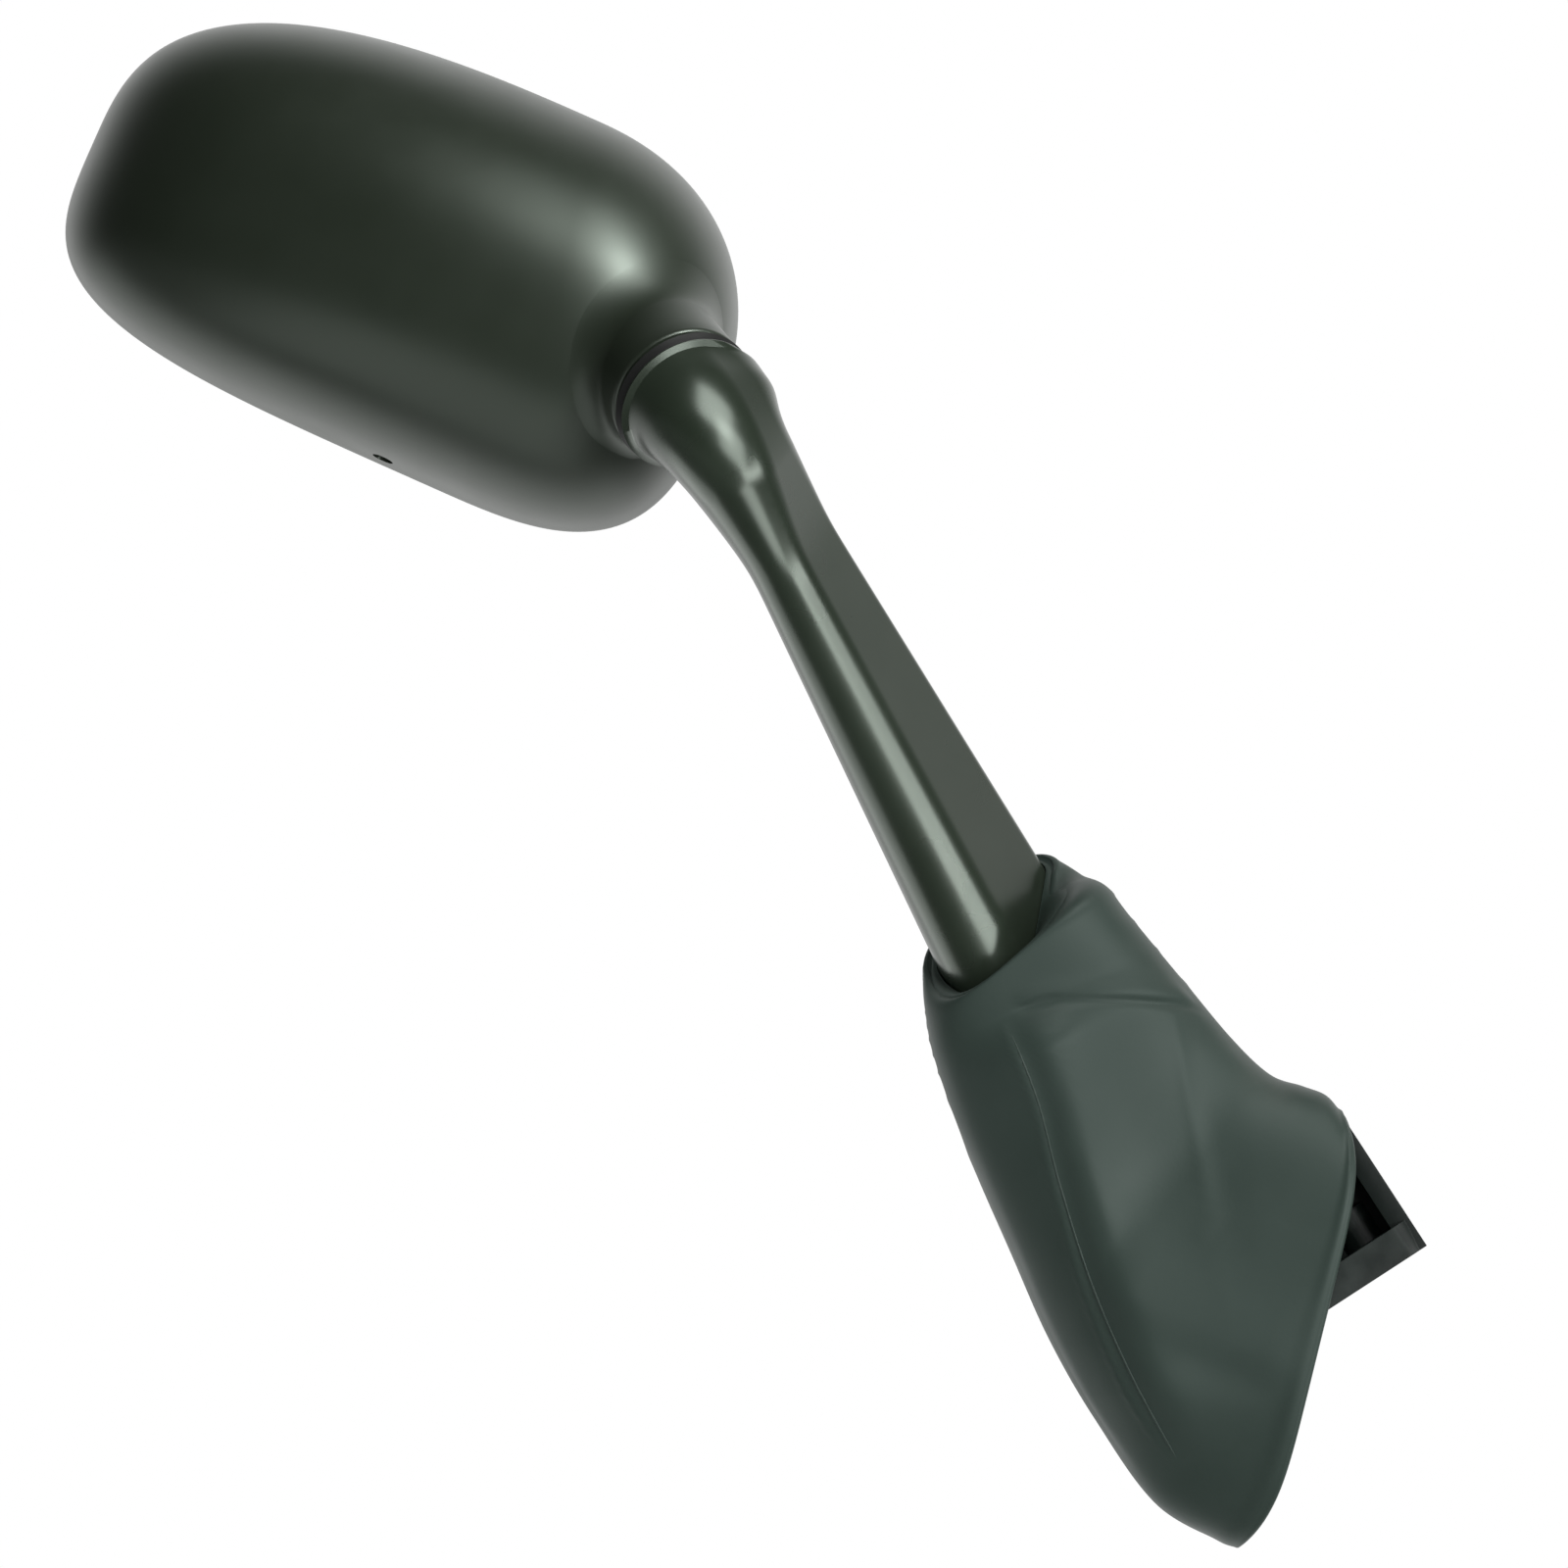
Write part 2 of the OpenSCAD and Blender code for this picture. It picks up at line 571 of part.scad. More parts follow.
module friction_disc() {
    color([0.25, 0.24, 0.22]) on_pivot() ring(barrel_r - 1, bolt_r + fit, -disc_t, 0);
}

module pivot_bolt() {
    tip = cap_z - nut_h - 2;
    color(steel) on_pivot() {
        translate([0, 0, tip]) cylinder(r = bolt_r, h = barrel_l + washer_t - tip, $fn = 48);
        translate([0, 0, barrel_l + washer_t]) cylinder(r = hex_r, h = bolt_head_h, $fn = 6);
    }
}

module pivot_washer() {
    color(steel) on_pivot() ring(hex_r + 1, bolt_r + fit, barrel_l, barrel_l + washer_t);
}

module pivot_spring() {
    color(steel) on_pivot() translate([0, 0, cap_z + cap_t])
        spring(pivot_coil, pivot_wire, pivot_spring_l, 4.5, 8, 14);
}

module spring_cap() {
    color(steel) on_pivot() ring(pocket_r - 0.6, bolt_r + fit, cap_z, cap_z + cap_t);
}

module lock_nut() {
    color(steel) on_pivot() difference() {
        translate([0, 0, cap_z - nut_h]) cylinder(r = hex_r, h = nut_h, $fn = 6);
        translate([0, 0, cap_z - nut_h - 1]) cylinder(r = bolt_r + snug, h = nut_h + 2, $fn = 48);
    }
}

// The cast foot: a plate, an upright web that carries the barrel, and an end wall
module base_bracket() {
    half = foot_length / 2;
    corner = 5;
    barrel_end = pivot_face + barrel_l;
    web_top = min(end_wall_h - 1, pivot_h - hex_r - 3);
    plate = [for (k = [0 : 3])
        let (sx = k == 0 || k == 3 ? 1 : -1, sy = k < 2 ? 1 : -1)
        each arc([sx * (half - corner), sy * (foot_width / 2 - corner)], corner, 90 * k, 90 * k + 90, 7)];
    web = [[-half + 3, 0], [-half + 3, foot_plate + 2], [pivot_face - 3, pivot_h - barrel_r - 3],
           [pivot_face, pivot_h - barrel_r - 1], [pivot_face, pivot_h], [barrel_end, pivot_h],
           [barrel_end, web_top], [half - 2, web_top], [half - 2, 0]];
    wall_side = [[-foot_width / 2 + 1, 0], [foot_width / 2 - 1, 0], [foot_width / 2 - 4, end_wall_h - 5],
                 [foot_width / 2 - 7, end_wall_h], [7 - foot_width / 2, end_wall_h],
                 [4 - foot_width / 2, end_wall_h - 5]];
    color(black_metal) difference() {
        union() {
            on_base() linear_extrude(foot_plate) polygon(plate);
            on_base() translate([0, web_t / 2, 0]) rotate([90, 0, 0]) linear_extrude(web_t) polygon(web);
            on_base() translate([half - end_wall_t, 0, 0]) rotate([90, 0, 90])
                linear_extrude(end_wall_t) polygon(wall_side);
            on_base() for (x = [-1, 1]) translate([x * fixing_spacing / 2, 0, 0])
                cylinder(r = fixing_r + 3.5, h = fixing_depth + 3, $fn = 48);
            on_pivot() cylinder(r = barrel_r, h = barrel_l, $fn = 64);
        }
        on_base() for (x = [-1, 1]) translate([x * fixing_spacing / 2, 0, -1])
            cylinder(r = fixing_r, h = fixing_depth + 1, $fn = 48);
        on_pivot() translate([0, 0, -1]) cylinder(r = bolt_r + fit, h = barrel_l + 2, $fn = 48);
    }
}

module boot() {
    inner = [for (i = [0 : boot_rings]) boot_ring(i / boot_rings, boot_wall)];
    outer = [for (i = [boot_rings : -1 : 0]) boot_ring(i / boot_rings, 0)];
    color(rubber) on_base() skin(concat(inner, outer), true);
}

housing();
glass();
glass_pad();
glass_carrier();
retainer_plate();
retainer_screw(1);  // retainer_screw_1
retainer_screw(2);  // retainer_screw_2
retainer_screw(3);  // retainer_screw_3
retainer_spring(1);  // retainer_spring_1
retainer_spring(2);  // retainer_spring_2
retainer_spring(3);  // retainer_spring_3
ball_liner();
neck_seal();
ball_stud();
arm();
pivot_bush();
friction_disc();
pivot_bolt();
pivot_washer();
pivot_spring();
spring_cap();
lock_nut();
base_bracket();
boot();
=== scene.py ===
import bpy
import bmesh
import math
import numpy as np
from mathutils import Matrix, Vector
from mathutils.bvhtree import BVHTree


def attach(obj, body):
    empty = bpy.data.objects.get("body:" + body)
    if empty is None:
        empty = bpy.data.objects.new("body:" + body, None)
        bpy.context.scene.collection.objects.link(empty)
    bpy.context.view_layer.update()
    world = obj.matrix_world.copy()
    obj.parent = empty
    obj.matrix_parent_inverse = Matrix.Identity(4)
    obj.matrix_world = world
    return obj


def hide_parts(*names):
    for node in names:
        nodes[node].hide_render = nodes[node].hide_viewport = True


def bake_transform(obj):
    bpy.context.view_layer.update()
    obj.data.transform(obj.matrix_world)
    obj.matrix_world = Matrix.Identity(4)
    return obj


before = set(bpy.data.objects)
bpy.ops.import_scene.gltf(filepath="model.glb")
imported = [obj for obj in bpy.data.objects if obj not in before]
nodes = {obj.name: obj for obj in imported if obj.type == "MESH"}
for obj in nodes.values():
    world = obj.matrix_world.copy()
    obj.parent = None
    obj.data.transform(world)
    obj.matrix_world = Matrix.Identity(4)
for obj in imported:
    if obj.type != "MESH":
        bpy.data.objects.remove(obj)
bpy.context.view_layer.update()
mm = 0.001
print("frame loaded:", len(nodes), "nodes")


# small sums
def mix(a, b, t):
    return a + (b - a) * t


def ease(t):
    u = np.clip(t, 0, 1)
    return u * u * (3 - 2 * u)


def signedPow(c, p):
    return np.sign(c) * np.abs(c) ** p


def unit(v):
    return np.asarray(v, float) / np.linalg.norm(v)


# the head's outline, dome and neck, in millimetres
head = {
    "out": 270.1, "up": 139.9, "halfOutboard": 107.8, "halfInboard": 52.8, "halfAbove": 50.7, "halfBelow": 44.8,
    "depth": 58.0, "rimY": 4.0, "wall": 2.5, "fullness": 2.5, "crownShift": 9.0, "glassCurve": 1200.0,
    "topOut": 2.7, "lowOut": 4.0, "topIn": 2.2, "lowIn": 3.1,
    "lip": 2.0, "ledge": 4.6, "ledgeDepth": 5.98, "rimRound": 1.1, "around": 288, "down": 110,
    "drainOut": 14.2, "drainDeep": 15.0, "drainRadius": 2.6,
}
neck = {
    "across": 44.2, "rise": -1.0, "turn": 36.7, "drop": 16.4, "radius": 17.3, "ballSet": 13.0,
    "throat": 6.6, "throatZ": -6.1, "mouth": 10.6, "edgeRound": 0.9, "fillet": 6.0, "seam": 1.8, "around": 192,
    "screwRing": 13.2, "screwTurns": (20, 140, 260), "screwHole": 1.52,
}
glassMid = (head["halfInboard"] - head["halfOutboard"]) / 2
turnAngle, dropAngle = math.radians(neck["turn"]), math.radians(neck["drop"])
neckIn = np.array([-math.sin(turnAngle) * math.cos(dropAngle), math.cos(turnAngle) * math.cos(dropAngle),
                   math.sin(dropAngle)])
neckDown = np.array([neckIn[2] * math.cos(turnAngle + math.pi / 2), neckIn[2] * math.sin(turnAngle + math.pi / 2),
                     -math.cos(dropAngle)])
neckLeft = np.cross(neckIn, neckDown)
seamAt = np.array([neck["across"] - head["out"], head["rimY"] - head["depth"] - 0.5, head["up"] + neck["rise"]])
ballAt = seamAt + neck["ballSet"] * neckIn
neckSphere = math.hypot(neck["radius"], neck["ballSet"])
cupSphere = neckSphere + neck["seam"]


def squareness(turn, share):
    corner = np.where(turn < 90, head["topIn"], np.where(turn < 180, head["topOut"],
                      np.where(turn < 270, head["lowOut"], head["lowIn"])))
    return mix(2.2, corner, share)


def outlinePoint(turn, share, inset):
    c, s = np.cos(np.radians(turn)), np.sin(np.radians(turn))
    p = 2 / squareness(turn, share)
    halfX = np.where(c > 0, head["halfInboard"], head["halfOutboard"])
    halfZ = np.where(s > 0, head["halfAbove"], head["halfBelow"])
    return (halfX * share - inset) * signedPow(c, p), (halfZ * share - inset) * signedPow(s, p)


def evenTurns(count):
    # turns whose points lie evenly along the rim
    fine = np.linspace(0, 360, 14401)
    x, z = outlinePoint(fine % 360, 1.0, 0.0)
    along = np.concatenate([[0], np.cumsum(np.hypot(np.diff(x), np.diff(z)))])
    return np.interp(np.arange(count) / count * along[-1], along, fine) % 360


def glassFall(x, z):
    return ((x - glassMid) ** 2 + z * z) / (2 * head["glassCurve"])


def domeShare(deep):
    return (1 - np.clip(deep, 0, 1) ** head["fullness"]) ** (1 / head["fullness"])


def domeRing(turns, depth, inset, total, fall):
    share = domeShare(depth / total)
    x, z = outlinePoint(turns, share, inset)
    return np.stack([head["crownShift"] * (1 - share) + x - head["out"],
                     head["rimY"] - depth - glassFall(x, z) * fall, z + head["up"]], axis=-1)


def domeLevel(p):
    # below zero inside the dome, above zero outside
    x, z = p[..., 0] + head["out"], p[..., 2] - head["up"]
    rough = (head["rimY"] - p[..., 1]) / head["depth"]
    deep = rough - glassFall(x, z) * (1 - rough) / head["depth"]
    share = np.maximum(domeShare(deep), 1e-6)
    dx = x - head["crownShift"] * (1 - share)
    turn = np.degrees(np.arctan2(z, dx)) % 360
    halfX = np.where(np.cos(np.radians(turn)) > 0, head["halfInboard"], head["halfOutboard"])
    halfZ = np.where(np.sin(np.radians(turn)) > 0, head["halfAbove"], head["halfBelow"])
    e = squareness(turn, share)
    level = np.abs(dx / (halfX * share)) ** e + np.abs(z / (halfZ * share)) ** e - 1
    return np.where(deep >= 1, 1.0, level)


def onDome(radius, turn):
    # depth along the neck's axis at which a line beside it meets the dome
    turn = np.asarray(turn, float)
    radius = np.broadcast_to(radius, turn.shape)[..., None]
    side = radius * (np.cos(turn)[..., None] * neckDown + np.sin(turn)[..., None] * neckLeft)
    low, high = np.full(turn.shape, -26.0), np.full(turn.shape, 20.0)
    for i in range(24):
        mid = (low + high) / 2
        outside = domeLevel(ballAt + mid[..., None] * neckIn + side) > 0
        low, high = np.where(outside, mid, low), np.where(outside, high, mid)
    return low


# mesh making
def meshObject(name, points, faces, smoothAngle=35):
    mesh = bpy.data.meshes.new(name)
    mesh.from_pydata([tuple(p) for p in np.asarray(points, float) * mm], [], faces)
    mesh.validate()
    obj = bpy.data.objects.new(name, mesh)
    bpy.context.scene.collection.objects.link(obj)
    tidyMesh(obj, smoothAngle)
    return obj


def tidyMesh(obj, smoothAngle=35):
    bm = bmesh.new()
    bm.from_mesh(obj.data)
    bmesh.ops.remove_doubles(bm, verts=bm.verts, dist=0.000002)
    bmesh.ops.dissolve_degenerate(bm, edges=bm.edges, dist=0.0000005)
    bmesh.ops.recalc_face_normals(bm, faces=bm.faces)
    if bm.calc_volume(signed=True) < 0:
        bmesh.ops.reverse_faces(bm, faces=bm.faces)
    bm.to_mesh(obj.data)
    bm.free()
    for polygon in obj.data.polygons:
        polygon.use_smooth = True
    obj.data.set_sharp_from_angle(angle=math.radians(smoothAngle))


def skin(name, rings, looped=False, smoothAngle=35):
    # rings of equal length, joined into one closed surface
    rings = [np.asarray(r, float) for r in rings]
    n, m = len(rings[0]), len(rings)
    faces = []
    for i in range(m if looped else m - 1):
        for j in range(n):
            a, b = i * n + j, i * n + (j + 1) % n
            c, d = ((i + 1) % m) * n + (j + 1) % n, ((i + 1) % m) * n + j
            faces.append((a, b, c, d))
    if not looped:
        faces.append(tuple(range(n))[::-1])
        faces.append(tuple((m - 1) * n + j for j in range(n)))
    return meshObject(name, np.concatenate(rings), faces, smoothAngle)


def cutOrJoin(obj, other, operation, smoothAngle=35):
    modifier = obj.modifiers.new("cut", "BOOLEAN")
    modifier.object = other
    modifier.operation = operation
    modifier.solver = "EXACT"
    applyModifiers(obj)
    bpy.data.objects.remove(other)
    for polygon in obj.data.polygons:
        polygon.use_smooth = True
    obj.data.set_sharp_from_angle(angle=math.radians(smoothAngle))


def applyModifiers(obj):
    graph = bpy.context.evaluated_depsgraph_get()
    made = bpy.data.meshes.new_from_object(obj.evaluated_get(graph))
    old = obj.data
    obj.modifiers.clear()
    obj.data = made
    bpy.data.meshes.remove(old)


def rod(name, start, end, radius, endRadius=None, sides=96):
    start, end = np.asarray(start, float), np.asarray(end, float)
    along = unit(end - start)
    side = unit(np.cross(along, [0.3, 0.5, 0.81]))
    other = np.cross(along, side)
    turn = np.arange(sides) / sides * 2 * math.pi
    ring = np.cos(turn)[:, None] * side + np.sin(turn)[:, None] * other
    return skin(name, [start + ring * radius, end + ring * (endRadius or radius)])


def dress(obj, material):
    obj.data.materials.clear()
    obj.data.materials.append(material)


# nodes and their sockets
def feed(tree, node, values):
    # values are numbers, colours or the sockets of other nodes
    for key, value in values.items():
        if hasattr(value, "links"):
            tree.links.new(value, node.inputs[key])
        else:
            node.inputs[key].default_value = value


def addNode(tree, kind, values=None, **settings):
    node = tree.nodes.new(kind)
    for key, value in settings.items():
        setattr(node, key, value)
    feed(tree, node, values or {})
    return node


def mathNode(tree, operation, a, b=None, clamp=False):
    values = {0: a} if b is None else {0: a, 1: b}
    return addNode(tree, "ShaderNodeMath", values, operation=operation, use_clamp=clamp).outputs[0]


def ramp(tree, value, start, end, low=0.0, high=1.0, kind="SMOOTHSTEP"):
    return addNode(tree, "ShaderNodeMapRange", {
        "Value": value, "From Min": start, "From Max": end, "To Min": low, "To Max": high},
        interpolation_type=kind).outputs["Result"]


def mixColour(tree, factor, a, b):
    a, b = ((*c, 1.0) if isinstance(c, tuple) else c for c in (a, b))
    return addNode(tree, "ShaderNodeMix", {0: factor, 6: a, 7: b}, data_type="RGBA").outputs[2]


def newGroup(name, inputs, outputs):
    group = bpy.data.node_groups.new(name, "ShaderNodeTree")
    for label, value in inputs.items():
        group.interface.new_socket(label, in_out="INPUT", socket_type="NodeSocketFloat").default_value = value
    for label in outputs:
        group.interface.new_socket(label, in_out="OUTPUT", socket_type="NodeSocketFloat")
    return group, group.nodes.new("NodeGroupInput").outputs, group.nodes.new("NodeGroupOutput").inputs


def useGroup(tree, group, values):
    return addNode(tree, "ShaderNodeGroup", values, node_tree=group).outputs


# shader groups
def grainGroup():
    # fine moulded or sprayed grain, with a slower waviness under it
    group, given, out = newGroup("surfaceGrain", {
        "Grain Scale": 900.0, "Wave Scale": 60.0, "Grain Share": 0.7}, ("Height", "Mottle"))
    place = addNode(group, "ShaderNodeTexCoord").outputs["Object"]
    fine = addNode(group, "ShaderNodeTexNoise", {
        "Vector": place, "Scale": given["Grain Scale"], "Detail": 3.0, "Roughness": 0.6})
    cells = addNode(group, "ShaderNodeTexVoronoi", {
        "Vector": place, "Scale": given["Grain Scale"]}, feature="SMOOTH_F1")
    wave = addNode(group, "ShaderNodeTexNoise", {
        "Vector": place, "Scale": given["Wave Scale"], "Detail": 4.0, "Roughness": 0.55}).outputs["Fac"]
    grain = mathNode(group, "ADD", mathNode(group, "MULTIPLY", cells.outputs["Distance"], 0.8),
                     mathNode(group, "MULTIPLY", fine.outputs["Fac"], 0.5))
    rough = mathNode(group, "MULTIPLY", grain, given["Grain Share"])
    slow = mathNode(group, "MULTIPLY", wave, mathNode(group, "SUBTRACT", 1.0, given["Grain Share"]))
    group.links.new(mathNode(group, "ADD", rough, slow), out["Height"])
    group.links.new(wave, out["Mottle"])
    return group


def wearGroup():
    # rubbed edges and a few fine hairline marks
    group, given, out = newGroup("edgeWear", {
        "Edge Start": 0.53, "Edge Width": 0.06, "Mark Scale": 35.0}, ("Edge", "Marks"))
    place = addNode(group, "ShaderNodeTexCoord").outputs["Object"]
    edges = ramp(group, addNode(group, "ShaderNodeNewGeometry").outputs["Pointiness"], given["Edge Start"],
                 mathNode(group, "ADD", given["Edge Start"], given["Edge Width"]))
    patch = addNode(group, "ShaderNodeTexNoise", {"Vector": place, "Scale": 90.0, "Detail": 5.0}).outputs["Fac"]
    broken = mathNode(group, "MULTIPLY", mathNode(group, "SUBTRACT", patch, 0.3), 2.2, True)
    group.links.new(mathNode(group, "MULTIPLY", edges, broken), out["Edge"])
    turned = addNode(group, "ShaderNodeMapping", {
        "Vector": place, "Rotation": (0.4, 0.9, 0.3), "Scale": (1.0, 14.0, 1.0)}).outputs["Vector"]
    lines = addNode(group, "ShaderNodeTexNoise", {
        "Vector": turned, "Scale": given["Mark Scale"], "Detail": 2.0, "Roughness": 0.4}).outputs["Fac"]
    off = mathNode(group, "ABSOLUTE", mathNode(group, "SUBTRACT", lines, 0.62))
    thin = mathNode(group, "SUBTRACT", 1.0, mathNode(group, "MULTIPLY", off, 60.0), True)
    rare = mathNode(group, "MULTIPLY", mathNode(group, "SUBTRACT", patch, 0.52), 5.0, True)
    group.links.new(mathNode(group, "MULTIPLY", thin, rare), out["Marks"])
    return group


def dustGroup():
    # pale dust that settles on what faces up, in soft patches
    group, given, out = newGroup("settledDust", {"Patch Scale": 25.0, "Amount": 0.3}, ("Dust",))
    normal = addNode(group, "ShaderNodeNewGeometry").outputs["Normal"]
    up = ramp(group, addNode(group, "ShaderNodeSeparateXYZ", {"Vector": normal}).outputs["Z"], 0.1, 1.0)
    patch = addNode(group, "ShaderNodeTexNoise", {
        "Vector": addNode(group, "ShaderNodeTexCoord").outputs["Object"], "Scale": given["Patch Scale"],
        "Detail": 6.0, "Roughness": 0.65}).outputs["Fac"]
    soft = mathNode(group, "MULTIPLY", mathNode(group, "SUBTRACT", patch, 0.35), 3.0, True)
    lying = mathNode(group, "MULTIPLY", up, soft)
    group.links.new(mathNode(group, "MULTIPLY", lying, given["Amount"], True), out["Dust"])
    return group


grain, wear, dust = grainGroup(), wearGroup(), dustGroup()
plainLook = {
    "waveScale": 60.0, "grainShare": 0.7, "bump": 0.25, "deep": 0.00004, "dust": 0.1, "edgeShare": 0.4,
    "markShare": 0.3, "dustColour": (0.32, 0.31, 0.28), "metal": 0.0, "specular": 0.5,
    "specularTint": (1.0, 1.0, 1.0),
}


def newMaterial(name):
    material = bpy.data.materials.new(name)
    material.use_nodes = True
    return material, material.node_tree, material.node_tree.nodes["Principled BSDF"]


def finish(name, own):
    # one surface: body colour with mottle, grain bump, rubbed edges, marks and dust
    look = {**plainLook, "edge": own["light"], **own}
    material, tree, shader = newMaterial(name)
    texture = useGroup(tree, grain, {
        "Grain Scale": look["grainScale"], "Wave Scale": look["waveScale"], "Grain Share": look["grainShare"]})
    worn = useGroup(tree, wear, {})
    settled = useGroup(tree, dust, {"Amount": look["dust"]})["Dust"]
    body = mixColour(tree, texture["Mottle"], look["dark"], look["light"])
    body = mixColour(tree, mathNode(tree, "MULTIPLY", worn["Edge"], look["edgeShare"]), body, look["edge"])
    body = mixColour(tree, mathNode(tree, "MULTIPLY", worn["Marks"], look["markShare"]), body, look["light"])
    body = mixColour(tree, settled, body, look["dustColour"])
    rough = ramp(tree, texture["Mottle"], 0.3, 0.7, *look["rough"], kind="LINEAR")
    bump = addNode(tree, "ShaderNodeBump", {
        "Strength": look["bump"], "Distance": look["deep"], "Height": texture["Height"]})
    feed(tree, shader, {
        "Base Color": body, "Normal": bump.outputs["Normal"], "Metallic": look["metal"], "IOR": 1.5,
        "Roughness": mathNode(tree, "ADD", rough, mathNode(tree, "MULTIPLY", settled, 0.4), True),
        "Specular IOR Level": look["specular"], "Specular Tint": (*look["specularTint"], 1.0)})
    return material


housingPlastic = finish("housingPlastic", {
    "dark": (0.0062, 0.0092, 0.0052), "light": (0.0105, 0.0145, 0.0092), "rough": (0.34, 0.42), "grainScale": 1500.0,
    "waveScale": 18.0, "grainShare": 0.75, "bump": 0.14, "dust": 0.03, "edgeShare": 0.2, "markShare": 0.1,
    "edge": (0.035, 0.042, 0.035), "specular": 0.62, "specularTint": (0.88, 1.0, 0.89),
    "dustColour": (0.2, 0.21, 0.19)})
armCoat = finish("armCoat", {
    "dark": (0.006, 0.0094, 0.0056), "light": (0.0105, 0.0144, 0.0098), "rough": (0.25, 0.31), "grainScale": 700.0,
    "waveScale": 30.0, "grainShare": 0.45, "bump": 0.05, "dust": 0.03, "edgeShare": 0.3, "markShare": 0.12,
    "edge": (0.05, 0.056, 0.05), "specular": 0.65, "specularTint": (0.88, 1.0, 0.89), "dustColour": (0.2, 0.21, 0.19)})
footCoat = finish("footCoat", {
    "dark": (0.0035, 0.0075, 0.006), "light": (0.0055, 0.012, 0.0095), "rough": (0.42, 0.58), "grainScale": 420.0,
    "waveScale": 90.0, "grainShare": 0.6, "bump": 0.5, "deep": 0.00012, "dust": 0.1, "edgeShare": 0.45,
    "edge": (0.06, 0.075, 0.068), "markShare": 0.3, "dustColour": (0.14, 0.15, 0.14)})
bootRubber = finish("bootRubber", {
    "dark": (0.0245, 0.0395, 0.032), "light": (0.041, 0.061, 0.052), "rough": (0.46, 0.6), "grainScale": 1100.0,
    "waveScale": 22.0, "grainShare": 0.6, "bump": 0.35, "deep": 0.00006, "dust": 0.22, "edgeShare": 0.35,
    "edge": (0.11, 0.12, 0.11), "dustColour": (0.2, 0.2, 0.185), "specular": 0.45,
    "specularTint": (0.88, 1.0, 0.95)})
nylonBlack = finish("nylonBlack", {
    "dark": (0.008, 0.009, 0.008), "light": (0.016, 0.017, 0.016), "rough": (0.5, 0.62), "grainScale": 900.0,
    "dust": 0.0})
foamPad = finish("foamPad", {
    "dark": (0.02, 0.02, 0.02), "light": (0.045, 0.045, 0.045), "rough": (0.85, 0.95), "grainScale": 500.0,
    "bump": 0.6, "deep": 0.0002, "dust": 0.0})
zincPlate = finish("zincPlate", {
    "dark": (0.42, 0.43, 0.42), "light": (0.62, 0.62, 0.58), "rough": (0.28, 0.42), "grainScale": 600.0,
    "waveScale": 80.0, "metal": 1.0, "dust": 0.05, "bump": 0.2})
springSteel = finish("springSteel", {
    "dark": (0.22, 0.22, 0.23), "light": (0.38, 0.38, 0.39), "rough": (0.3, 0.45), "grainScale": 800.0,
    "metal": 1.0, "dust": 0.0})
oxideSteel = finish("oxideSteel", {
    "dark": (0.02, 0.02, 0.021), "light": (0.045, 0.045, 0.047), "rough": (0.35, 0.5), "grainScale": 700.0,
    "metal": 0.6, "dust": 0.05, "edge": (0.3, 0.3, 0.3)})
oilBronze = finish("oilBronze", {
    "dark": (0.3, 0.19, 0.09), "light": (0.46, 0.31, 0.15), "rough": (0.35, 0.5), "grainScale": 500.0,
    "metal": 1.0, "dust": 0.0})
lining = finish("lining", {
    "dark": (0.07, 0.055, 0.04), "light": (0.13, 0.11, 0.085), "rough": (0.75, 0.9), "grainScale": 350.0,
    "bump": 0.6, "deep": 0.0001, "dust": 0.0})


def mirrorFinish():
    # silvered glass with faint smears and specks of dust
    material, tree, shader = newMaterial("silveredGlass")
    place = addNode(tree, "ShaderNodeTexCoord").outputs["Object"]
    smear = addNode(tree, "ShaderNodeTexNoise", {
        "Vector": place, "Scale": 28.0, "Detail": 5.0, "Distortion": 1.2}).outputs["Fac"]
    speck = addNode(tree, "ShaderNodeTexVoronoi", {"Vector": place, "Scale": 160.0}).outputs["Distance"]
    film = ramp(tree, smear, 0.45, 0.75, 0.015, 0.07, "LINEAR")
    dot = ramp(tree, speck, 0.05, 0.02, 0.0, 0.5, "LINEAR")
    bump = addNode(tree, "ShaderNodeBump", {"Strength": 0.02, "Distance": 0.00002, "Height": smear})
    feed(tree, shader, {
        "Base Color": mixColour(tree, dot, (0.80, 0.84, 0.845), (0.5, 0.5, 0.48)), "Metallic": 1.0,
        "Roughness": mathNode(tree, "ADD", film, dot, True), "Normal": bump.outputs["Normal"]})
    return material


silveredGlass = mirrorFinish()
print("materials ready")


# springs and the boot's bead, made by geometry nodes
def newShapeTree(name, sizes, path=False):
    # a path has to be the tree's first input, where the object's own mesh comes in
    tree = bpy.data.node_groups.new(name, "GeometryNodeTree")
    if path:
        tree.interface.new_socket("Path", in_out="INPUT", socket_type="NodeSocketGeometry")
    for label, value in sizes.items():
        kind = "NodeSocketInt" if isinstance(value, int) else "NodeSocketFloat"
        tree.interface.new_socket(label, in_out="INPUT", socket_type=kind).default_value = value
    tree.interface.new_socket("Material", in_out="INPUT", socket_type="NodeSocketMaterial")
    tree.interface.new_socket("Geometry", in_out="OUTPUT", socket_type="NodeSocketGeometry")
    return tree, tree.nodes.new("NodeGroupInput").outputs


def aroundAxis(tree, turn, radius, height):
    # a place given by turns round the axis, distance from it and height along it
    angle = mathNode(tree, "MULTIPLY", turn, 2 * math.pi)
    return addNode(tree, "ShaderNodeCombineXYZ", {
        "X": mathNode(tree, "MULTIPLY", radius, mathNode(tree, "COSINE", angle)),
        "Y": mathNode(tree, "MULTIPLY", radius, mathNode(tree, "SINE", angle)), "Z": height}).outputs["Vector"]


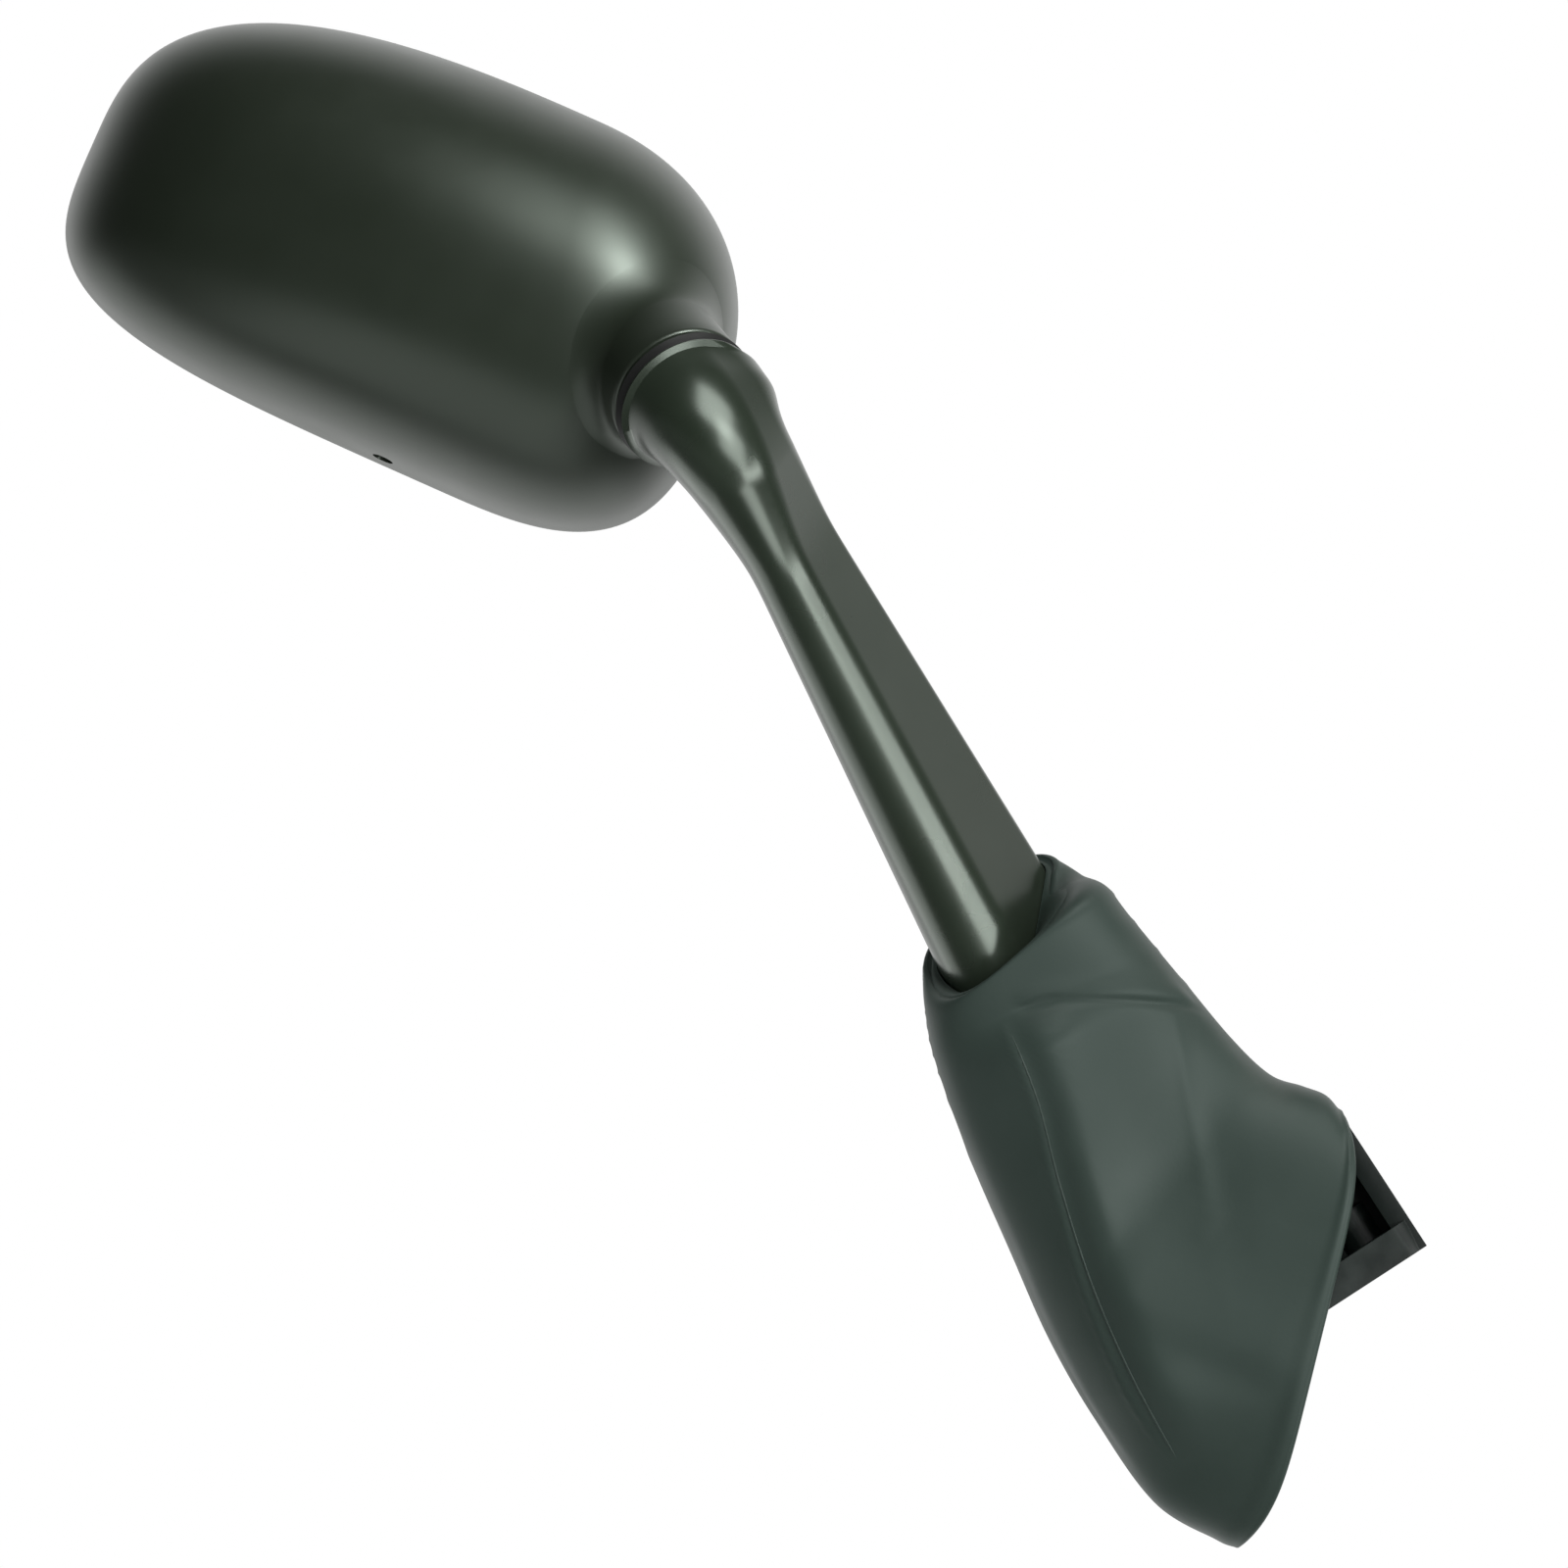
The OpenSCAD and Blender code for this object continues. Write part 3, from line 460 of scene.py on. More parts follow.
def closeTree(tree, given, geometry):
    smooth = addNode(tree, "GeometryNodeSetShadeSmooth", {"Geometry": geometry}).outputs["Geometry"]
    real = addNode(tree, "GeometryNodeRealizeInstances", {"Geometry": smooth}).outputs["Geometry"]
    painted = addNode(tree, "GeometryNodeSetMaterial", {"Geometry": real, "Material": given["Material"]})
    addNode(tree, "NodeGroupOutput", {"Geometry": painted.outputs["Geometry"]})


def roundSweep(tree, curve, radius, sides):
    circle = addNode(tree, "GeometryNodeCurvePrimitiveCircle", {"Resolution": sides, "Radius": radius})
    return addNode(tree, "GeometryNodeCurveToMesh", {
        "Curve": curve, "Profile Curve": circle.outputs["Curve"], "Fill Caps": True})


def springTree():
    # round wire along a helix whose end coils lie flat for a quarter turn
    tree, given = newShapeTree("coilSpring", {
        "Coil Radius": 0.0066, "Wire Radius": 0.0009, "Length": 0.012, "Turns": 4.5, "Steps": 220, "Wire Sides": 14})
    line = addNode(tree, "GeometryNodeCurvePrimitiveLine").outputs["Curve"]
    even = addNode(tree, "GeometryNodeResampleCurve", {"Curve": line, "Count": given["Steps"]}).outputs["Curve"]
    along = addNode(tree, "GeometryNodeSplineParameter").outputs["Factor"]
    turn = mathNode(tree, "MULTIPLY", along, given["Turns"])
    climb = mathNode(tree, "DIVIDE", mathNode(tree, "SUBTRACT", turn, 0.25),
                     mathNode(tree, "SUBTRACT", given["Turns"], 0.5), True)
    rise = mathNode(tree, "SUBTRACT", given["Length"], mathNode(tree, "MULTIPLY", given["Wire Radius"], 2.0))
    up = mathNode(tree, "ADD", given["Wire Radius"], mathNode(tree, "MULTIPLY", rise, climb))
    wound = addNode(tree, "GeometryNodeSetPosition", {
        "Geometry": even, "Position": aroundAxis(tree, turn, given["Coil Radius"], up)}).outputs["Geometry"]
    closeTree(tree, given, roundSweep(tree, wound, given["Wire Radius"], given["Wire Sides"]).outputs["Mesh"])
    return tree


def grown(tree, name, values, matrix, material, smoothAngle=50, path=None):
    # one body grown by a tree, turned into a plain mesh in its place
    obj = bpy.data.objects.new(name, path or bpy.data.meshes.new(name))
    bpy.context.scene.collection.objects.link(obj)
    modifier = obj.modifiers.new(name, "NODES")
    modifier.node_group = tree
    for item in tree.interface.items_tree:
        if item.in_out == "INPUT" and item.name in values:
            modifier[item.identifier] = values[item.name]
        elif item.in_out == "INPUT" and item.name == "Material":
            modifier[item.identifier] = material
    applyModifiers(obj)
    obj.data.transform(matrix)
    tidyMesh(obj, smoothAngle)
    return obj


# frames of the foot, the fold pivot and the arm's spine
foot = {"tilt": 57.0, "length": 64.0, "width": 30.0, "plate": 8.0, "endWall": 34.2, "pivotFace": -6.0,
        "pivotHeight": 46.0, "barrel": 16.0, "barrelRadius": 12.0, "eye": 30.0, "disc": 1.5, "rub": 0.06,
        "bushRadius": 5.94, "pocketRadius": 9.0, "pocketDepth": 18.0, "snug": 0.02}
tiltCos, tiltSin = math.cos(math.radians(foot["tilt"])), math.sin(math.radians(foot["tilt"]))


def fromBase(p):
    p = np.asarray(p, float)
    return np.stack([p[..., 0] * tiltCos - p[..., 2] * tiltSin, p[..., 1],
                     p[..., 0] * tiltSin + p[..., 2] * tiltCos], axis=-1)


def toBase(p):
    p = np.asarray(p, float)
    return np.stack([p[..., 0] * tiltCos + p[..., 2] * tiltSin, p[..., 1],
                     -p[..., 0] * tiltSin + p[..., 2] * tiltCos], axis=-1)


def onPivot(along):
    return fromBase([foot["pivotFace"] + along, 0, foot["pivotHeight"]])


spine = {"straight": 6.0, "reach": 19.0, "flare": 52.0, "noseNear": 7.5, "noseFar": 10.8, "chordNear": 15.8,
         "chordFar": 25.0, "bulge": 5.0, "taper": 0.3, "bladeTurn": 40.0, "shank": 33.0, "shankRadius": 4.0,
         "bead": 0.3, "waist": 0.35}
eyeNear = -foot["disc"] - foot["rub"]
eyeFar = eyeNear - foot["eye"]
pivotAt = onPivot(eyeNear - foot["eye"] * 0.6)
cornerAt = seamAt - spine["reach"] * neckIn
bladeWay = unit(pivotAt - cornerAt)
bend = math.acos(-bladeWay @ neckIn)
bendReach = spine["reach"] - spine["straight"]
bendRadius = bendReach / math.tan(bend / 2)
bendLength = bendRadius * bend
spineLength = spine["straight"] + bendLength + np.linalg.norm(pivotAt - cornerAt) - bendReach
bendSide = unit(bladeWay - (bladeWay @ neckIn) * neckIn)
bladeChord = fromBase([math.cos(math.radians(spine["bladeTurn"])), math.sin(math.radians(spine["bladeTurn"])), 0])
bladeEnd = spineLength - 78


def spineTurn(s):
    return min(bend, max(0.0, (s - spine["straight"]) / bendRadius))


def spineWay(s):
    a = spineTurn(s)
    return -math.cos(a) * neckIn + math.sin(a) * bendSide


def spineAt(s):
    a = spineTurn(s)
    return (seamAt - min(s, spine["straight"]) * neckIn
            + bendRadius * (-math.sin(a) * neckIn + (1 - math.cos(a)) * bendSide)
            + max(0.0, s - spine["straight"] - bendLength) * bladeWay)


def flared(s):
    return max(0.0, 1 - s / spine["flare"]) ** 1.25


def bladeMix(near, far, s):
    return mix(near, far, min(1.1, max(0.0, (s - spine["flare"]) / (bladeEnd - spine["flare"]))))


def rooted(s):
    return float(ease((s - bladeEnd - 14) / 52))


def plainNose(s):
    return mix(mix(bladeMix(spine["noseNear"], spine["noseFar"], s), 9, rooted(s)), neck["radius"], flared(s))


def plainChord(s):
    bulge = spine["bulge"] * max(0.0, 1 - ((s - 10) / 10) ** 2) ** 1.5
    return bulge + mix(mix(bladeMix(spine["chordNear"], spine["chordFar"], s), 9, rooted(s)), 0.6,
                       min(1, flared(s) * 1.1))


def smoothed(profile, softness=4.0):
    # the same profile without its kinks, so that highlights run evenly along the arm
    along = np.arange(-20, spineLength + 60, 0.5)
    values = np.array([profile(min(max(s, 0.0), spineLength)) for s in along])
    weights = np.exp(-0.5 * (np.arange(-24, 25) * 0.5 / softness) ** 2)
    padded = np.pad(values, 24, mode="edge")
    return along, np.convolve(padded, weights / weights.sum(), mode="valid")


noseTable, chordTable = smoothed(plainNose), smoothed(plainChord)


def noseAt(s):
    held = float(ease((s - 1) / 9))
    return mix(plainNose(s), float(np.interp(s, *noseTable)), held)


def chordAt(s):
    held = float(ease((s - 1) / 9))
    return mix(plainChord(s), float(np.interp(s, *chordTable)), held)


def collarRelief(s):
    # a bead round the arm's end, then a shallow waist before the knuckle
    return spine["bead"] * math.exp(-((s - 3.2) / 2.0) ** 2) - spine["waist"] * math.exp(-((s - 7.8) / 3.0) ** 2)


def dropSection(radius, chord, places):
    # places run from 0 to 40: tail arc, flank, nose arc, flank
    turn = math.acos(spine["taper"])
    tailRadius = radius - spine["taper"] * chord

    def tail(a):
        return np.stack([chord + tailRadius * np.cos(a), tailRadius * np.sin(a)], -1)

    def nose(a):
        return np.stack([radius * np.cos(a), radius * np.sin(a)], -1)
    out = np.zeros((len(places), 2))
    onTail, onNose = places <= 10, (places >= 16) & (places <= 34)
    out[onTail] = tail(mix(turn, -turn, places[onTail] / 10))
    out[onNose] = nose(mix(-turn, turn - 2 * math.pi, (places[onNose] - 16) / 18))
    first, last = (places > 10) & (places < 16), places > 34
    out[first] = mix(tail(np.array(-turn)), nose(np.array(-turn)), ((places[first] - 10) / 6)[:, None])
    out[last] = mix(nose(np.array(turn - 2 * math.pi)), tail(np.array(turn)), ((places[last] - 34) / 6)[:, None])
    return out


def sectionAt(s, grow, places):
    way = spineWay(s)
    chord = unit(bladeChord - (bladeChord @ way) * way)
    flat = np.cross(way, chord)
    p = dropSection(noseAt(s) + grow, chordAt(s), places)
    return p, spineAt(s) + p[:, :1] * chord + p[:, 1:] * flat


# head shell and neck
def buildHeadShell():
    turns = evenTurns(head["around"])
    depths = [math.sin(math.radians(a)) ** (2 / head["fullness"]) for a in np.linspace(89.6, 6, head["down"])]
    outer = [domeRing(turns, head["depth"] * u, 0, head["depth"], 1 - u) for u in depths]
    innerDepth = head["depth"] - head["wall"]
    inner = [domeRing(turns, innerDepth * u, head["wall"], innerDepth, 1 - u) for u in
             [math.sin(math.radians(a)) ** (2 / head["fullness"]) for a in np.linspace(88.5, 12, 40)]][::-1]
    r = head["rimRound"]
    # the rim: rounded outside and inside, then the lip's wall, the ledge and the way in
    edge = [(r * (1 - math.sin(a)), r * (1 - math.cos(a))) for a in np.linspace(0, math.pi / 2, 6)]
    inside = [(d, head["lip"] - i) for d, i in edge[::-1]]
    rim = [domeRing(turns, d, i, head["depth"], 1) for d, i in edge + inside]
    rim += [domeRing(turns, head["ledgeDepth"], head["lip"], head["depth"], 1),
            domeRing(turns, head["ledgeDepth"], head["ledge"], head["depth"], 1),
            domeRing(turns, head["ledgeDepth"] + 2, head["ledge"], head["depth"], 1),
            domeRing(turns, head["ledgeDepth"] + 4, head["wall"], head["depth"], 0.9)]
    shell = skin("headShell", outer + rim + inner, smoothAngle=40)
    hole = rod("hole", ballAt - 30 * neckIn, ballAt + 9 * neckIn, neck["radius"] - 1.2)
    cutOrJoin(shell, hole, "DIFFERENCE", 40)
    drain = [-head["drainOut"] - head["out"], head["rimY"] - head["ledgeDepth"] - head["drainDeep"],
             head["up"] - head["halfBelow"] - 5]
    hole = rod("drain", drain, np.add(drain, [0, 0, 12]), head["drainRadius"], sides=48)
    cutOrJoin(shell, hole, "DIFFERENCE", 40)
    return shell


def aroundNeck(turn):
    return math.cos(math.radians(turn)) * neckDown + math.sin(math.radians(turn)) * neckLeft


def neckRing(radius, depth, turns):
    radius, depth = np.broadcast_to(radius, turns.shape), np.broadcast_to(depth, turns.shape)
    return (ballAt + depth[:, None] * neckIn
            + radius[:, None] * (np.cos(turns)[:, None] * neckDown + np.sin(turns)[:, None] * neckLeft))


def buildNeckCollar():
    # one closed surface: fillet out of the dome, collar, rounded edge, spherical face, throat, socket and back
    turns = -np.arange(neck["around"]) / neck["around"] * 2 * math.pi
    meets = onDome(neck["radius"], turns)
    reach = np.clip(meets + neck["ballSet"] - 2.5, 1.5, neck["fillet"])
    rings = [neckRing(neck["radius"] - 0.6, meets + 3.0, turns),
             neckRing(neck["radius"] + reach, onDome(neck["radius"] + reach, turns) + 1.2, turns)]
    for a in np.radians(np.linspace(90, 0, 19)):
        at = neck["radius"] + reach * (1 - math.cos(a))
        sink = 0.06 * math.sin(a) ** 4
        rings.append(neckRing(at, onDome(at, turns) - reach * (1 - math.sin(a)) + sink, turns))
    front, r = -neck["ballSet"], neck["edgeRound"]
    low = onDome(neck["radius"], turns) - reach
    for share in (0.35, 0.7):
        rings.append(neckRing(neck["radius"], mix(low, front + r, share), turns))
    slope = math.asin(neck["radius"] / neckSphere)
    for a in np.linspace(0, 1, 7):
        turn = a * math.pi / 2
        rings.append(neckRing(neck["radius"] - r * (1 - math.cos(turn)), front + r - r * math.sin(turn)
                              - 0.3 * r * math.sin(turn) ** 2 * math.cos(slope), turns))
    flatStart = neck["radius"] - r
    for radius in np.linspace(flatStart - 0.5, neck["mouth"] + 0.6, 14):
        rings.append(neckRing(radius, -math.sqrt(neckSphere ** 2 - radius ** 2), turns))
    mouthZ = -math.sqrt(neckSphere ** 2 - neck["mouth"] ** 2)
    rings.append(neckRing(neck["mouth"], mouthZ + 0.3, turns))
    rings.append(neckRing(neck["throat"], neck["throatZ"], turns))
    socket = math.hypot(neck["throat"], neck["throatZ"])
    for a in np.linspace(math.atan2(neck["throat"], -neck["throatZ"]), math.pi / 2, 10)[1:]:
        rings.append(neckRing(socket * math.sin(a), -socket * math.cos(a), turns))
    rings += [neckRing(socket, 10.0, turns), neckRing(neck["radius"] - 0.6, 10.0, turns)]
    collar = skin("neckCollar", rings, looped=True, smoothAngle=38)
    for turn in neck["screwTurns"]:
        side = neck["screwRing"] * aroundNeck(turn)
        hole = rod("screwHole", ballAt + side - 2.3 * neckIn, ballAt + side + 14 * neckIn, neck["screwHole"],
                   sides=24)
        cutOrJoin(collar, hole, "DIFFERENCE", 38)
    return collar


headShell = buildHeadShell()
neckCollar = buildNeckCollar()
for piece in (headShell, neckCollar):
    dress(piece, housingPlastic)
    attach(piece, "head")
    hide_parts("housing")
print("head shell and neck built")


# mirror glass with a ground edge
glass = {"front": 1.2, "thick": 2.0, "inset": 2.3, "grind": 0.35}


def buildGlassPane():
    turns = evenTurns(head["around"])
    front, thick, inset, grind = glass["front"], glass["thick"], glass["inset"], glass["grind"]

    def level(depth, rim):
        x, z = outlinePoint(turns, 1.0, inset + rim)
        return lambda share: np.stack([glassMid + (x - glassMid) * share - head["out"], head["rimY"] - depth
                                       - glassFall(glassMid + (x - glassMid) * share, z * share),
                                       z * share + head["up"]], -1)
    shares = [0.004, 0.05, 0.15, 0.3, 0.45, 0.6, 0.72, 0.82, 0.9, 0.96, 1.0]
    top, bottom = level(front, grind), level(front + thick, 0.15)
    rings = [top(s) for s in shares]
    rings += [level(front + grind * 0.6, 0.0)(1.0), level(front + thick - 0.15, 0.0)(1.0)]
    rings += [bottom(s) for s in shares[::-1]]
    return skin("glassPane", rings, smoothAngle=25)


glassPane = buildGlassPane()
dress(glassPane, silveredGlass)
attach(glassPane, "head")
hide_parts("glass")


# cast arm
def buildArmBody():
    places = np.arange(0, 40, 0.25)
    firstRing = sectionAt(0.0, 0.0, places)[1]
    cup = []
    # the shank's hole, the cup's sphere and the rounded edge of the cup
    holeFloor, cupSquare = -spine["shank"] - foot["rub"], cupSphere ** 2
    outward = firstRing - seamAt
    outward = outward - (outward @ neckIn)[:, None] * neckIn
    length = np.linalg.norm(outward, axis=1)[:, None]
    outward = outward / length
    hole = spine["shankRadius"] + foot["snug"]
    for radius in (0.4, hole):
        cup.append(ballAt + radius * outward + holeFloor * neckIn)
    for radius in np.linspace(hole, neck["radius"] - 1.4, 16):
        cup.append(ballAt + radius * outward - math.sqrt(cupSquare - radius ** 2) * neckIn)
    edgeDepth = -math.sqrt(cupSquare - (neck["radius"] - 1.0) ** 2)
    for a in np.linspace(0.15, math.pi / 2, 7):
        cup.append(ballAt + (length - 1.0 + math.sin(a)) * outward + (edgeDepth - 1.0 + math.cos(a)) * neckIn)
    start = -(edgeDepth - 1.0) - neck["ballSet"]
    stations = np.concatenate([np.linspace(start + 0.8, spine["flare"] + 8, 70),
                               np.linspace(spine["flare"] + 10, spineLength - 5, 90)])
    rings = cup + [sectionAt(s, collarRelief(s), places)[1] for s in stations]
    arm = skin("armBody", rings, smoothAngle=42)
    eye = rod("eye", onPivot(eyeFar), onPivot(eyeNear), foot["barrelRadius"])
    cutOrJoin(arm, eye, "UNION", 42)
    cutOrJoin(arm, rod("bore", onPivot(eyeFar - 1), onPivot(eyeNear + 1), foot["bushRadius"] + foot["snug"]),
              "DIFFERENCE", 42)
    cutOrJoin(arm, rod("pocket", onPivot(eyeFar - 40), onPivot(eyeFar + foot["pocketDepth"]), foot["pocketRadius"]),
              "DIFFERENCE", 42)
    return arm


armBody = buildArmBody()
dress(armBody, armCoat)
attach(armBody, "arm")
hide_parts("arm")
print("arm built")


# rubber boot
boot = {
    "wall": 2.2, "halfDepth": 21.0, "bow": 6.5, "rings": 150, "step": 0.2, "gap": 0.3, "ease": 26.0, "tilt": (0.3, -0.5),
    "left": [(-31, 117), (-38, 110), (-42.5, 98), (-47.5, 76), (-51.5, 52), (-55, 30), (-56.2, 8), (-54.8, -17.5),
             (-44.8, -35.5)],
    "right": [(7, 124), (14, 118), (15.5, 104), (17.8, 84), (20, 66), (23, 54), (28, 47.5), (31.5, 42.5),
              (32.2, 36.86)],
    "lipHigh": 0.35, "lipLong": 3.4,
}
gripAt = spineLength - 73


def through(points, t):
    # a smooth curve through points that are evenly spread over 0 to 1
    points = np.asarray(points, float)
    n = len(points) - 1
    i = min(n - 1, int(t * n))
    u = t * n - i
    p0, p1 = points[max(0, i - 1)], points[i]
    p2, p3 = points[i + 1], points[min(n, i + 2)]
    return 0.5 * (2 * p1 + (p2 - p0) * u + (2 * p0 - 5 * p1 + 4 * p2 - p3) * u ** 2
                  + (3 * p1 - p0 - 3 * p2 + p3) * u ** 3)


bootPlaces = np.arange(0, 40, boot["step"])
gripPoints = dropSection(noseAt(gripAt), chordAt(gripAt), bootPlaces)
gripTurns = np.degrees(np.arctan2(gripPoints[:, 1], gripPoints[:, 0] - 0.4 * chordAt(gripAt)))
bootLean = float(toBase(spineAt(gripAt))[1]) + 3


def bootTurns(t):
    own = gripTurns - gripTurns[0]
    own = np.where(own > 0.01, own - 360, own)
    return np.radians(spine["bladeTurn"] - gripTurns[0] - mix(own, -360 * bootPlaces / 40, float(ease(t * 2.5))))


def bootLeans(t):
    return bootLean * (1 - ease((np.asarray(t) - 0.1) * 1.9))


def bootBody(t, inset):
    left, right = through(boot["left"], t), through(boot["right"], t)
    mid, half = (left + right) / 2, np.linalg.norm(right - left) / 2
    across = (right - left) / (2 * half)
    down = np.array([across[1], -across[0]])
    bow = boot["bow"] * float(ease((t - 0.55) / 0.45))
    a = bootTurns(t)
    blunt = mix(3.1, np.where(np.cos(a) > 0, 3.6, 2.3), float(ease(t * 1.4 - 0.2)))
    c, s = signedPow(np.cos(a), 2 / blunt), signedPow(np.sin(a), 2 / blunt)
    flat = mid + ((half - inset) * c)[:, None] * across + (bow * (1 - c ** 6))[:, None] * down
    lean = float(bootLeans(t))
    depth = mix(20.8, boot["halfDepth"], float(ease((t - 0.3) * 1.6)))
    return np.stack([flat[:, 0], lean + (depth - inset) * s, flat[:, 1]], -1)


def bootGrip(t, inset):
    grow = boot["gap"] + boot["wall"] - inset + boot["ease"] * t
    rows = []
    for j, place in enumerate(bootPlaces):
        s = gripAt - gripPoints[j] @ np.array(boot["tilt"])
        rows.append(sectionAt(s, grow, bootPlaces[j:j + 1])[1][0])
    return toBase(np.array(rows))


def bootRing(t, inset):
    held = 1 - float(ease(t / 0.2))
    body = bootBody(t, inset)
    return body if held == 0 else mix(body, bootGrip(t, inset), held)


def curveThrough(points, count=60):
    return np.array([through(points, t) for t in np.linspace(0, 0.9999, count)])


def alongLine(points, flat):
    # distance from a drawn line, positive on its right, and how far along it the nearest point is
    line = curveThrough(points)
    best, side, along = np.full(len(flat), 1e9), np.zeros(len(flat)), np.zeros(len(flat))
    for i in range(len(line) - 1):
        a, b = line[i], line[i + 1]
        way = b - a
        u = np.clip(((flat - a) @ way) / (way @ way), 0, 1)
        away = flat - (a + u[:, None] * way)
        d = np.hypot(away[:, 0], away[:, 1])
        near = d < best
        best = np.where(near, d, best)
        side = np.where(near, np.sign(way[0] * away[:, 1] - way[1] * away[:, 0]), side)
        along = np.where(near, (i + u) / (len(line) - 1), along)
    return -side * best, along


# lines on the boot's flanks, in the foot's own measures from the side (x along the foot, height above it),
# and how fast their relief rises at the upper end and falls at the lower one
bootMarks = {
    "fold": {"line": [(-22.5, 100.5), (-26.5, 80), (-33, 60), (-39.5, 36), (-43.5, 12), (-45.5, -14)],
             "ends": (9, 5), "keel": 5.6, "keelAt": -7.0, "keelRound": 3.0, "keelWide": 12.0},
    "ridge": {"line": [(11.9, 81.4), (4.5, 63.2), (-4.9, 39.8), (-17.9, 9.5)], "ends": (7, 3)},
    "crease": {"line": [(-19.5, 100), (-9, 96), (2, 89), (13, 80.5), (20.5, 74)], "ends": (8, 6)},
    "band": {"line": [(-44, 33), (-35, 17), (-26, 3), (-14, -14)], "ends": (5, 5)},
}


def soft(x, width):
    return np.exp(-(x / width) ** 2)


def besideMark(name, flat):
    # how far each point lies beside a mark, and how much of the mark's relief it gets along its length
    side, along = alongLine(bootMarks[name]["line"], flat)
    first, last = bootMarks[name]["ends"]
    return side, ease(along * first) * ease((1 - along) * last)


def bootRelief(flat, front):
    # how far the moulded folds, ridges and creases stand out of the boot's flanks, in millimetres
    fold = bootMarks["fold"]
    side, ends = besideMark("fold", flat)
    past = side - fold["keelAt"]
    rounded = np.sqrt(past ** 2 + fold["keelRound"] ** 2) - fold["keelRound"]
    keel = np.where(past < 0, np.exp(-rounded / fold["keelWide"]), soft(rounded, fold["keelWide"]))
    out = ends * (fold["keel"] * keel * front + 0.45 * soft(side - 1.2, 0.6) - 0.7 * soft(side + 1.6, 2.4))
    side, ends = besideMark("ridge", flat)
    out += ends * (0.2 * soft(side, 1.4) - 0.3 * ease(-side / 5) * ease((14 + side) / 10))
    side, ends = besideMark("crease", flat)
    out += ends * (-0.75 * soft(side, 0.75) + 0.45 * soft(side + 2.6, 2.2))
    side, ends = besideMark("band", flat)
    out += ends * (0.8 * ease(-side / 9) * ease((30 + side) / 20) - 0.3 * soft(side - 1, 4.0))
    return out


def ringNormals(grid):
    down = np.gradient(grid, axis=0)
    around = np.roll(grid, -1, axis=1) - np.roll(grid, 1, axis=1)
    n = np.cross(around, down)
    return n / np.maximum(np.linalg.norm(n, axis=2, keepdims=True), 1e-9)


def buildBootSkin():
    ts = np.linspace(0, 0.99999, boot["rings"])
    outer = np.array([bootRing(t, 0) for t in ts])
    inner = np.array([bootRing(t, boot["wall"]) for t in ts])
    normal = ringNormals(outer)
    middle = outer.mean(axis=1, keepdims=True)
    if ((outer - middle) * normal).sum() < 0:
        normal = -normal
    flat = outer[..., [0, 2]].reshape(-1, 2)
    front = ease((bootLeans(ts)[:, None] - outer[..., 1]) / 8).reshape(-1)
    relief = bootRelief(flat, front).reshape(outer.shape[:2])
    # relief lies on the broad flanks and fades before the edges and the lips
    flank = ease((np.abs(normal[..., 1]) - 0.25) / 0.4)
    along = np.cumsum(np.concatenate([[0], np.linalg.norm(np.diff(outer, axis=0), axis=2).mean(axis=1)]))
    fade = ease(along / 5)[:, None] * ease((along[-1] - along) / 4)[:, None]
    # a thicker lip at the top, and a bead round the mouth
    lip = boot["lipHigh"] * soft(along - 1.6, boot["lipLong"] / 2)[:, None]
    bead = 0.5 * soft(along[-1] - along - 1.5, 1.7)[:, None]
    seam = 0.22 * soft(outer[..., 1] - bootLeans(ts)[:, None], 0.55) * fade
    outer = outer + normal * (relief * flank * fade + lip + bead + seam)[..., None]
    # rounded edges at both openings, from the inner wall to the outer one
    rings = [outer[i] for i in range(len(outer))]

    def turned(end, wall, away):
        way = unit(away.mean(axis=0))
        made = []
        for a in np.linspace(0.25, math.pi - 0.25, 7):
            share = (1 - math.cos(a)) / 2
            thick = np.linalg.norm(wall - end, axis=1, keepdims=True) / 2
            made.append(mix(end, wall, share) + way * thick * math.sin(a) * 0.9)
        return made
    rings += turned(outer[-1], inner[-1], outer[-1] - outer[-2])
    rings += [inner[i] for i in range(len(inner) - 1, -1, -1)]
    rings += turned(inner[0], outer[0], outer[0] - outer[1])
    rings = [fromBase(r) for r in rings]
    return skin("bootSkin", rings, looped=True, smoothAngle=60)


bootSkin = buildBootSkin()
dress(bootSkin, bootRubber)
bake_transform(bootSkin)
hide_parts("boot")


def cordOnPath():
    # a thin round bead along a path laid on a surface, thinner at both ends
    tree, given = newShapeTree("surfaceCord", {"Radius": 0.0004, "Spacing": 0.001, "Sides": 8}, path=True)
    curve = addNode(tree, "GeometryNodeMeshToCurve", {"Mesh": given["Path"]}).outputs["Curve"]
    even = addNode(tree, "GeometryNodeResampleCurve", mode="LENGTH")
    feed(tree, even, {"Curve": curve, "Length": given["Spacing"]})
    along = addNode(tree, "GeometryNodeSplineParameter").outputs["Factor"]
    ends = mathNode(tree, "MULTIPLY", mathNode(tree, "MULTIPLY", along, mathNode(tree, "SUBTRACT", 1.0, along)), 18.0)
    held = addNode(tree, "ShaderNodeClamp", {"Value": ends, "Min": 0.25}).outputs["Result"]
    thin = addNode(tree, "GeometryNodeSetCurveRadius", {"Curve": even.outputs["Curve"], "Radius": held})
    sweep = roundSweep(tree, thin.outputs["Curve"], given["Radius"], given["Sides"])
    if "Scale" in sweep.inputs:
        feed(tree, sweep, {"Scale": held})
    closeTree(tree, given, sweep.outputs["Mesh"])
    return tree


